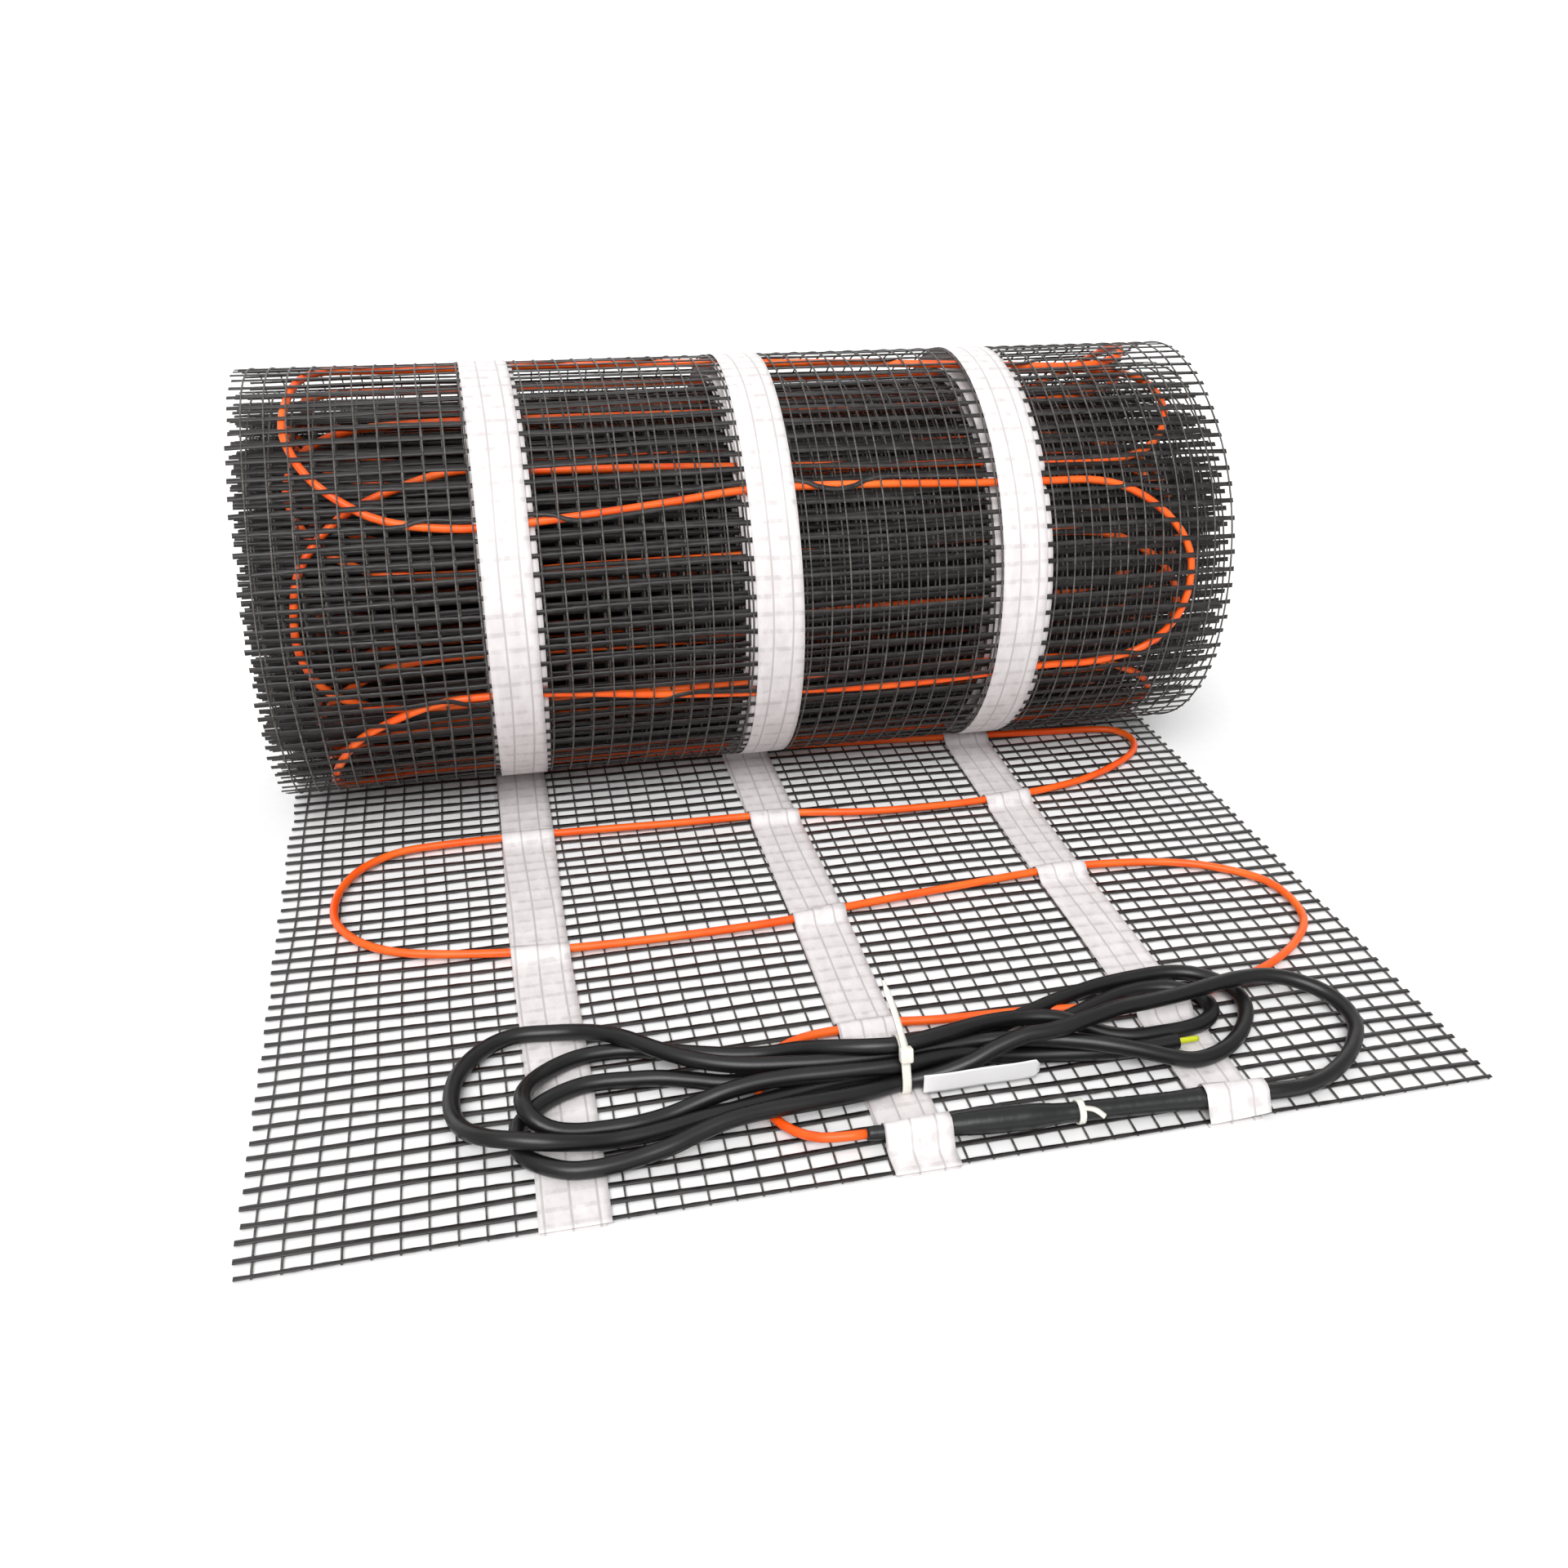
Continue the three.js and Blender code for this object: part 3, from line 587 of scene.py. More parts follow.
@dataclass
class StrandSweep:
    """Geometry Nodes tree that sweeps flat strands along guide lines.

    The guide lines carry the side that a strand's flat face looks to, and its share of the
    full width, which a seeded spread varies from cell to cell.
    """

    name: str
    width: float
    thickness: float
    spread: float = 0.06
    seed: int = 7

    def tree(self, material: bpy.types.Material) -> bpy.types.NodeTree:
        """Builds the tree, with its width, thickness, spread and seed as inputs.

        Args:
            material: The strands' material.

        Returns:
            The tree.
        """
        tree = bpy.data.node_groups.new(self.name, "GeometryNodeTree")
        sockets = tree.interface
        sockets.new_socket("Guides", in_out="INPUT", socket_type="NodeSocketGeometry")
        for name in ("Strand width", "Strand thickness", "Width spread"):
            sockets.new_socket(name, in_out="INPUT", socket_type="NodeSocketFloat")
        sockets.new_socket("Seed", in_out="INPUT", socket_type="NodeSocketInt")
        sockets.new_socket("Strands", in_out="OUTPUT", socket_type="NodeSocketGeometry")
        given = add_node(tree, "NodeGroupInput")
        lines = add_node(tree, "GeometryNodeMeshToCurve", Mesh=given.outputs["Guides"])
        side = add_node(
            tree,
            "GeometryNodeInputNamedAttribute",
            {"data_type": "FLOAT_VECTOR", "in:Name": "sheet_normal"},
        )
        turned = add_node(
            tree,
            "GeometryNodeSetCurveNormal",
            {"mode": "FREE"},
            Curve=lines.outputs["Curve"],
            Normal=live_output(side, "Attribute"),
        )
        share = add_node(
            tree,
            "GeometryNodeInputNamedAttribute",
            {"data_type": "FLOAT", "in:Name": "strand_share"},
        )
        chance = add_node(tree, "FunctionNodeRandomValue", {"data_type": "FLOAT"})
        floats = [s for s in chance.inputs if s.enabled and s.type == "VALUE"]
        spread = given.outputs["Width spread"]
        for end, operation in zip(floats, ("SUBTRACT", "ADD")):
            bound = add_node(
                tree, "ShaderNodeMath", {"operation": operation, "in:0": 1.0}, i1=spread
            )
            tree.links.new(bound.outputs[0], end)
        tree.links.new(given.outputs["Seed"], next(s for s in chance.inputs if s.name == "Seed"))
        scale = add_node(
            tree,
            "ShaderNodeMath",
            {"operation": "MULTIPLY"},
            i0=live_output(share, "Attribute"),
            i1=live_output(chance, "Value"),
        )
        section = add_node(
            tree,
            "GeometryNodeCurvePrimitiveQuadrilateral",
            Width=given.outputs["Strand thickness"],
            Height=given.outputs["Strand width"],
        )
        swept = add_node(
            tree,
            "GeometryNodeCurveToMesh",
            {"in:Fill Caps": True},
            Curve=turned.outputs["Curve"],
            Profile_Curve=section.outputs["Curve"],
            Scale=scale.outputs[0],
        )
        real = add_node(tree, "GeometryNodeRealizeInstances", Geometry=swept.outputs["Mesh"])
        dressed = add_node(
            tree,
            "GeometryNodeSetMaterial",
            {"in:Material": material},
            Geometry=real.outputs["Geometry"],
        )
        add_node(tree, "NodeGroupOutput", Strands=dressed.outputs["Geometry"])
        return tree

    def bake(
        self,
        lines: list[np.ndarray],
        sides: list[np.ndarray],
        shares: list[np.ndarray],
        material: bpy.types.Material,
    ) -> bpy.types.Mesh:
        """Sweeps the guide lines and returns the result as a plain mesh.

        Args:
            lines: Points of each guide line, in metres.
            sides: The way that the strand's flat face looks at each point.
            shares: Share of the full width at each point.
            material: The strands' material.

        Returns:
            One mesh of all strands.
        """
        guides = bpy.data.meshes.new(self.name + "_guides")
        points = np.vstack(lines)
        edges, start = [], 0
        for line in lines:
            edges += [(start + i, start + i + 1) for i in range(len(line) - 1)]
            start += len(line)
        guides.from_pydata([tuple(p) for p in points], edges, [])
        guides.attributes.new("sheet_normal", "FLOAT_VECTOR", "POINT").data.foreach_set(
            "vector", np.vstack(sides).astype(np.float32).ravel()
        )
        guides.attributes.new("strand_share", "FLOAT", "POINT").data.foreach_set(
            "value", np.concatenate(shares).astype(np.float32)
        )
        carrier = bpy.data.objects.new(self.name, guides)
        bpy.context.scene.collection.objects.link(carrier)
        tree = self.tree(material)
        modifier = carrier.modifiers.new(self.name, "NODES")
        modifier.node_group = tree
        values = {
            "Strand width": self.width,
            "Strand thickness": self.thickness,
            "Width spread": self.spread,
            "Seed": self.seed,
        }
        for item in tree.interface.items_tree:
            if item.in_out == "INPUT" and item.name in values:
                modifier[item.identifier] = values[item.name]
        ready = carrier.evaluated_get(bpy.context.evaluated_depsgraph_get())
        mesh = bpy.data.meshes.new_from_object(ready)
        bpy.data.objects.remove(carrier)
        bpy.data.meshes.remove(guides)
        return mesh


# The wound sheet


@dataclass
class WoundSheet:
    """The line that the mat follows: flat on the floor, then up the back of the roll and round.

    A place on the mat is x across it and s along it from the front ribbon. A height above the
    mesh's middle is towards the roll's axis, which is up on the flat stretch.
    """

    front_y: float = -244.35
    middle_z: float = 1.1
    flat_length: float = 381.0
    roll_radius: float = 109.6
    axis_z: float = 110.7
    first_drop: float = 5.0
    turn_pitch: float = 5.6
    slack: float = 3.8
    slack_at: float = 185.0
    slack_spread: float = 38.0
    turns: float = 14.0
    angles: np.ndarray = field(init=False)
    radii: np.ndarray = field(init=False)
    lengths: np.ndarray = field(init=False)

    def __post_init__(self) -> None:
        """Tabulates the spiral's radius and length by its angle."""
        self.angles = np.linspace(0, 2 * math.pi * self.turns, 7200)
        first = np.clip((self.angles - math.pi) / math.pi, 0, 1) * self.first_drop
        later = np.clip(self.angles / (2 * math.pi) - 1, 0, None) * self.turn_pitch
        off = (np.degrees(self.angles) - self.slack_at) / self.slack_spread
        loose = self.slack * np.exp(-off * off / 2)
        self.radii = self.roll_radius - first - later + loose
        steps = (self.radii[1:] + self.radii[:-1]) / 2 * np.diff(self.angles)
        self.lengths = self.flat_length + np.concatenate([[0], np.cumsum(steps)])

    @property
    def length(self) -> float:
        """Length of the mat from its front ribbon to its inner end."""
        return float(self.lengths[-1])

    def s_at(self, degrees: float) -> float:
        """Length along the mat at an angle: 0 below the roll, 90 behind it, 180 on top."""
        return float(np.interp(math.radians(degrees), self.angles, self.lengths))

    def place(self, x: np.ndarray, s: np.ndarray, height: np.ndarray | float) -> np.ndarray:
        """Points in metres for places on the mat.

        Args:
            x: Places across the mat.
            s: Places along the mat.
            height: Heights above the mesh's middle, towards the axis.

        Returns:
            The points, one in a row.
        """
        x, s, height = np.broadcast_arrays(*(np.asarray(v, float) for v in (x, s, height)))
        angle = np.interp(s, self.lengths, self.angles)
        radius = np.interp(s, self.lengths, self.radii) - height
        flat = s <= self.flat_length
        y = np.where(flat, s, self.flat_length + radius * np.sin(angle)) + self.front_y
        z = np.where(flat, self.middle_z + height, self.axis_z - radius * np.cos(angle))
        return np.stack([x, y, z], axis=-1) * MM

    def inward(self, s: np.ndarray) -> np.ndarray:
        """The way from the mesh towards the axis, at places along the mat."""
        s = np.asarray(s, float)
        angle = np.where(s <= self.flat_length, 0.0, np.interp(s, self.lengths, self.angles))
        return np.stack([np.zeros_like(angle), -np.sin(angle), np.cos(angle)], axis=-1)


SHEET = WoundSheet()


@dataclass
class Scrim:
    """The black mesh: flat ribbons across it and thin strands along it."""

    half_width: float = 250.0
    left_fringe: float = 7.5
    strand_pitch: float = 10.0
    strand_width: float = 0.72
    strand_thickness: float = 0.6
    ribbon_pitch: float = 9.0
    ribbon_width: float = 2.5
    ribbon_thickness: float = 0.4
    cable_clearance: float = 3.2
    seed: int = 11

    def waves(self, x: np.ndarray, s: np.ndarray) -> tuple[np.ndarray, np.ndarray]:
        """How far the hand-laid mesh strays from its grid, across and along.

        Args:
            x: Places across the mat.
            s: Places along the mat.

        Returns:
            The offsets across and along.
        """
        across = 0.9 * np.sin(s / 61 + 0.4) * np.sin(x / 140 + 1.1) + 0.5 * np.sin(s / 23 + x / 90)
        along = 1.1 * np.sin(x / 83 + s / 170) + 0.5 * np.sin(x / 31 + s / 47)
        return across, along

    def rows(self) -> np.ndarray:
        """Seeded strays of each ribbon: its sway, and how short its left and right tips are."""
        count = int(SHEET.length // self.ribbon_pitch)
        return np.random.default_rng(self.seed).normal(0, (0.35, 1.1, 0.8), (count, 3))

    def ribbon_stray(self, row: np.ndarray, x: np.ndarray) -> np.ndarray:
        """How far ribbons stray along the mat from their even places, before the cable.

        Args:
            row: Numbers of the ribbons, counted from the front.
            x: Places across the mat.

        Returns:
            The offsets along the mat.
        """
        sway = self.rows()[row, 0]
        _, along = self.waves(x, row * self.ribbon_pitch)
        ripple = 0.35 * np.sin(x / 17 + row * 1.7) + sway * np.sin(x / 120 + row)
        return np.where(row > 0, np.clip(along + ripple, None, 2.0), 0.3 * ripple)

    def cells(self, x: np.ndarray, s: np.ndarray) -> np.ndarray:
        """Counts places on the mat in the mesh's own strands and ribbons.

        Args:
            x: Places across the mat.
            s: Places along it.

        Returns:
            The counts across and along.
        """
        row = np.clip(np.round(s / self.ribbon_pitch), 0, len(self.rows()) - 1).astype(int)
        across, _ = self.waves(x, s)
        u = (x - across + self.half_width - self.left_fringe) / self.strand_pitch
        return np.stack([u, (s - self.ribbon_stray(row, x)) / self.ribbon_pitch], axis=-1)

    def pushed(self, x: np.ndarray, s: np.ndarray, cable: np.ndarray) -> np.ndarray:
        """Moves a ribbon of the roll aside where a cable run presses between the ribbons.

        Args:
            x: Places across the mat.
            s: The ribbon's places along it.
            cable: The cable's line as x, s and height.

        Returns:
            The new places along the mat.
        """
        near = cable[np.abs(cable[:, 1] - s.mean()) < 14]
        if len(near) < 2:
            return s
        gap = s[:, None] - near[None, :, 1]
        aside = np.abs(x[:, None] - near[None, :, 0]) > 3.0
        reach = np.where(aside, 1e3, np.abs(gap))
        closest = reach.argmin(axis=1)
        nearest = reach[np.arange(len(x)), closest]
        way = np.sign(gap[np.arange(len(x)), closest])
        push = way * np.clip(self.cable_clearance - nearest, 0, None)
        push = np.convolve(np.pad(push, 2, mode="edge"), (0.1, 0.2, 0.4, 0.2, 0.1), "valid")
        return s + push

    def ribbons(
        self, low: float, high: float, cable: np.ndarray
    ) -> tuple[list[np.ndarray], list[np.ndarray], list[np.ndarray]]:
        """Draws the guide lines of the ribbons between two places along the mat.

        Args:
            low: The first place.
            high: The last place.
            cable: The cable's line as x, s and height.

        Returns:
            For each ribbon its points, the sides that it faces and its shares of the width.
        """
        lines, sides, shares = [], [], []
        runs = cable[np.abs(np.gradient(cable[:, 1])) < 0.6 * np.abs(np.gradient(cable[:, 0]))]
        for row, (_, short_left, short_right) in enumerate(self.rows()):
            s = row * self.ribbon_pitch
            if not low <= s < high:
                continue
            outer = s < SHEET.s_at(400)
            step = self.strand_pitch / 2 if outer else 4 * self.strand_pitch
            left = -self.half_width + abs(short_left) * 0.8
            right = self.half_width - abs(short_right) * 0.6
            x = np.append(np.arange(left, right, step), right)
            at = s + self.ribbon_stray(np.full(len(x), row), x)
            if outer and s > SHEET.flat_length:
                at = self.pushed(x, at, runs)
            lines.append(SHEET.place(x, at, 0.05))
            sides.append(SHEET.inward(at))
            cell = (x + self.half_width - self.left_fringe) / self.strand_pitch
            pinch = 1 - 0.16 * (np.cos(2 * math.pi * cell) > 0.5)
            shares.append(pinch * (1.0 if row else 0.8))
        return lines, sides, shares

    def strands(
        self, low: float, high: float
    ) -> tuple[list[np.ndarray], list[np.ndarray], list[np.ndarray]]:
        """Draws the guide lines of the strands between two places along the mat.

        Args:
            low: The first place.
            high: The last place.

        Returns:
            For each strand its points, the sides that it faces and its shares of the width.
        """
        lines, sides, shares = [], [], []
        stations = list(np.arange(-1.0, SHEET.flat_length, 4.5))
        angle = 0.0
        while angle < 360 * SHEET.turns:
            stations.append(SHEET.s_at(angle))
            angle += 3.75 if angle < 400 else 12.0
        s = np.array([v for v in stations if low <= v < high] + [high])
        first = -self.half_width + self.left_fringe
        for column in range(50):
            x = first + column * self.strand_pitch
            across, _ = self.waves(np.full_like(s, x), s)
            at = np.clip(x + across, -self.half_width + 1, self.half_width - 1)
            lines.append(SHEET.place(at, s, -0.3))
            sides.append(SHEET.inward(s))
            shares.append(np.ones_like(s))
        return lines, sides, shares

    def build(
        self, ribbon: bpy.types.Material, strand: bpy.types.Material, cable: np.ndarray
    ) -> list[bpy.types.Object]:
        """Builds the flat stretch, the roll's outer turn and its inner turns.

        Args:
            ribbon: Material of the ribbons.
            strand: Material of the strands.
            cable: The cable's line, which the ribbons of the roll give way to.

        Returns:
            The pieces, with ribbons and strands apart.
        """
        made = []
        outer_end = SHEET.s_at(400)
        spans = {
            "scrim_flat": (-1.0, SHEET.flat_length, "mesh_flat"),
            "scrim_outer_turn": (SHEET.flat_length, outer_end, "mesh_roll"),
            "scrim_inner_turns": (outer_end, SHEET.length, "mesh_roll"),
        }
        for name, (low, high, node) in spans.items():
            wide = StrandSweep(
                name + "_ribbons", self.ribbon_width * MM, self.ribbon_thickness * MM
            )
            thin = StrandSweep(
                name + "_strands", self.strand_width * MM, self.strand_thickness * MM, 0.12, 5
            )
            meshes = {
                "ribbons": (wide.bake(*self.ribbons(low, high, cable), ribbon), ribbon),
                "strands": (thin.bake(*self.strands(low, high), strand), strand),
            }
            for kind, (mesh, material) in meshes.items():
                piece = link_piece(f"{name}_{kind}", mesh, material)
                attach(piece, "root")
                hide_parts(node)
                log.info("%s: %d faces", piece.name, len(mesh.polygons))
                made.append(piece)
        return made


@dataclass
class HeatingCable:
    """The orange cable: a measured route on the flat and the outer turn, then even runs."""

    diameter: float = 4.0
    height: float = 2.4
    sides: int = 10
    run_pitch: float = 90.0
    reach: float = 226.0
    run_end: float = 172.0
    seed: int = 3
    flat_route: tuple[Point, ...] = (
        (-18.2, 17.0, 6.3), (-28.5, 17.7, 6.2), (-37, 20.5, 5.2), (-45, 28, 3.8), (-51, 39, 3.1),
        (-53.5, 54, 3.1), (-50.5, 68, 3.1), (-42.5, 79, 3.1), (-28.5, 86, 3.1), (-10.5, 88, 3.1),
        (11, 88.5, 3.1), (29, 86, 3.1), (74, 83, 3.1), (103, 79, 3.1), (142, 76, 3.1),
        (162, 81, 3.1), (196, 93.5, 3.1), (218, 109, 3.1), (230, 124, 3.1), (233.5, 142, 3.1),
        (229, 162, 3.1), (209, 180, 3.1), (185, 190, 3.1), (137.5, 196, 3.1), (112, 194, 3.1),
        (66, 189, 3.1), (10, 182, 3.1), (-15, 177.5, 3.1), (-88, 175, 3.1), (-145, 178, 3.1),
        (-194, 189, 3.1), (-211, 201, 3.1), (-222, 219, 3.1), (-224, 234, 3.1), (-221, 252, 3.1),
        (-212, 269, 3.1), (-195, 281.5, 3.1), (-172, 285, 3.1), (-125, 285.5, 3.1), (-55, 283, 3.1),
        (9.5, 281, 3.1), (53.5, 274, 3.1), (114.5, 273.5, 3.1), (172, 283, 3.1), (204, 298, 3.1),
        (224, 315, 3.1), (229, 330, 3.1), (224, 341.6, 3.1), (212, 346, 3.1),
    )
    hidden_route: tuple[Flat, ...] = (
        (185, 349), (150, 352), (80, 358), (0, 364), (-80, 368), (-150, 372), (-190, 377),
        (-216, 390), (-225, 413), (-216, 436), (-190, 450), (-150, 455), (0, 456), (150, 455),
        (190, 460), (216, 475), (225, 497), (216, 522), (190, 537), (150, 541), (0, 541),
        (-150, 541), (-190, 546), (-217, 562), (-225, 584), (-216, 608), (-190, 622), (-150, 627),
        (0, 627), (140, 627),
    )
    outer_turn: tuple[Flat, ...] = (
        (178, 130), (205, 135), (221, 147), (226, 160), (223, 175), (213, 185), (191, 190.5),
        (132, 188), (60, 183), (0, 179), (-60, 174), (-117, 168), (-170, 164), (-203, 169),
        (-217, 182), (-223, 195), (-225, 206), (-222, 214), (-214, 222), (-200, 229),
        (-183, 234), (-150, 237), (-120, 236.5), (-85, 235), (-48, 233), (-16, 231), (17, 230.5),
        (60, 231), (105, 232), (147, 232.5), (174, 233), (193, 236), (213, 244), (224, 253),
        (226, 263), (220, 275), (204, 284), (177, 288), (149, 288), (103, 290), (58, 291),
        (18, 290), (-20, 289), (-60, 287), (-103, 284), (-134, 283), (-166, 284), (-189, 289),
        (-207, 296), (-219, 309), (-222, 322), (-214, 336), (-196, 344), (-165, 347), (-120, 347),
        (0, 346), (120, 346), (178, 347),
    )
    second_turn: tuple[Flat, ...] = (
        (205, 353), (222, 367), (222, 377), (205, 388), (178, 392), (0, 392), (-178, 392),
        (-206, 399), (-224, 414), (-206, 430), (-178, 437), (0, 437), (178, 437), (206, 444),
        (224, 460), (206, 476), (178, 483), (0, 483), (-178, 483), (-206, 490), (-224, 506),
        (-206, 522), (-178, 529), (0, 529), (178, 529), (210, 535), (228, 550), (228, 568),
        (214, 580), (189, 585), (116, 583.5), (30, 582), (-53, 580), (-116, 579), (-147, 578),
        (-172, 582), (-203, 591), (-222, 604), (-227, 615), (-227, 628), (-217, 640),
        (-195, 647), (-160, 649), (0, 649), (165, 649),
    )

    def sheet_route(self) -> np.ndarray:
        """The whole route on the mat as x, s and height, with even hidden runs to the inner end."""
        route = [(x, s, z + 0.7 - SHEET.middle_z) for x, s, z in self.flat_route]
        places = list(self.hidden_route)
        places += [(x, SHEET.s_at(a)) for x, a in self.outer_turn + self.second_turn]
        side, s = 1, places[-1][1]
        chance = np.random.default_rng(self.seed)
        while s + 1.4 * self.run_pitch < SHEET.length:
            rise = self.run_pitch + chance.normal(0, 2.5)
            end = self.run_end + chance.normal(0, 5)
            for reach, share in ((0.45, 0.07), (0.85, 0.25), (1.0, 0.5), (0.85, 0.75), (0.45, 0.93)):
                places.append((side * (end + (self.reach - end) * reach), s + share * rise))
            places.append((side * end, s + rise))
            side, s = -side, s + rise
            places.append((-side * end * 0.4, s + chance.normal(0, 1.5)))
            places.append((side * end * 0.4, s + chance.normal(0, 1.5)))
            places.append((side * end, s))
        places.append((side * self.run_end * 0.8, s + 4))
        return np.array(route + [(x, v, self.height) for x, v in places])

    def line(self, step: float = 5.0) -> np.ndarray:
        """The smooth route as x, s and height."""
        return smooth_line(self.sheet_route(), step)

    def build(self, material: bpy.types.Material) -> bpy.types.Object:
        """Builds the cable as one tube that replaces its short CAD stretch.

        Args:
            material: The cable's material.

        Returns:
            The cable.
        """
        line = self.line(6.0)
        points = SHEET.place(line[:, 0], line[:, 1], line[:, 2])
        radii = np.full(len(points), self.diameter / 2 * MM)
        mesh = tube_mesh("heating_cable_run", points, radii, self.sides)
        piece = link_piece("heating_cable_run", mesh, material)
        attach(piece, "root")
        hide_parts("heating_cable")
        length = float(np.linalg.norm(np.diff(points, axis=0), axis=1).sum())
        log.info("%s: %.1f m of cable, %d faces", piece.name, length, len(mesh.polygons))
        return piece


@dataclass
class JointSleeve:
    """The shrunk sleeve where the heating cable meets the cold lead."""

    left: Flat = (-18.5, 17.0)
    length: float = 162.0
    turn: float = -4.0
    axis_height: float = 6.3
    sides: int = 32
    profile: tuple[Flat, ...] = (
        (0, 2.8), (10, 3.0), (20, 3.9), (32, 4.2), (46, 5.2), (68, 5.2), (78, 4.0),
        (100, 4.0), (126, 4.1), (138, 4.8), (162, 4.6),
    )

    def point(self, along: float, height: float = 0.0) -> np.ndarray:
        """A point on the sleeve's axis in millimetres, in the part's frame."""
        turn = math.radians(self.turn)
        return np.array([
            self.left[0] + along * math.cos(turn),
            self.left[1] + along * math.sin(turn) + SHEET.front_y,
            self.axis_height + SHEET.middle_z - 0.4 + height,
        ])

    def radius(self, along: np.ndarray) -> np.ndarray:
        """The sleeve's radius along it."""
        stations, radii = np.array(self.profile).T
        return np.interp(along, stations, radii)

    def build(self, material: bpy.types.Material) -> bpy.types.Object:
        """Builds the sleeve as one turned body with softly rounded shoulders and ends.

        Args:
            material: The sleeve's material.

        Returns:
            The sleeve.
        """
        along = np.linspace(0, self.length, 109)
        smooth = np.convolve(np.pad(self.radius(along), 3, mode="edge"), np.ones(7) / 7, "valid")
        wrinkles = 0.07 * np.sin(along * 1.9) * np.sin(along * 0.37)
        radii = smooth + wrinkles
        radii[0] *= 0.88
        radii[-1] *= 0.9
        line = np.array([self.point(a) for a in along]) * MM
        mesh = tube_mesh("joint_sleeve_shrunk", line, radii * MM, self.sides)
        piece = link_piece("joint_sleeve_shrunk", mesh, material)
        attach(piece, "root")
        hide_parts("joint_sleeve")
        return piece


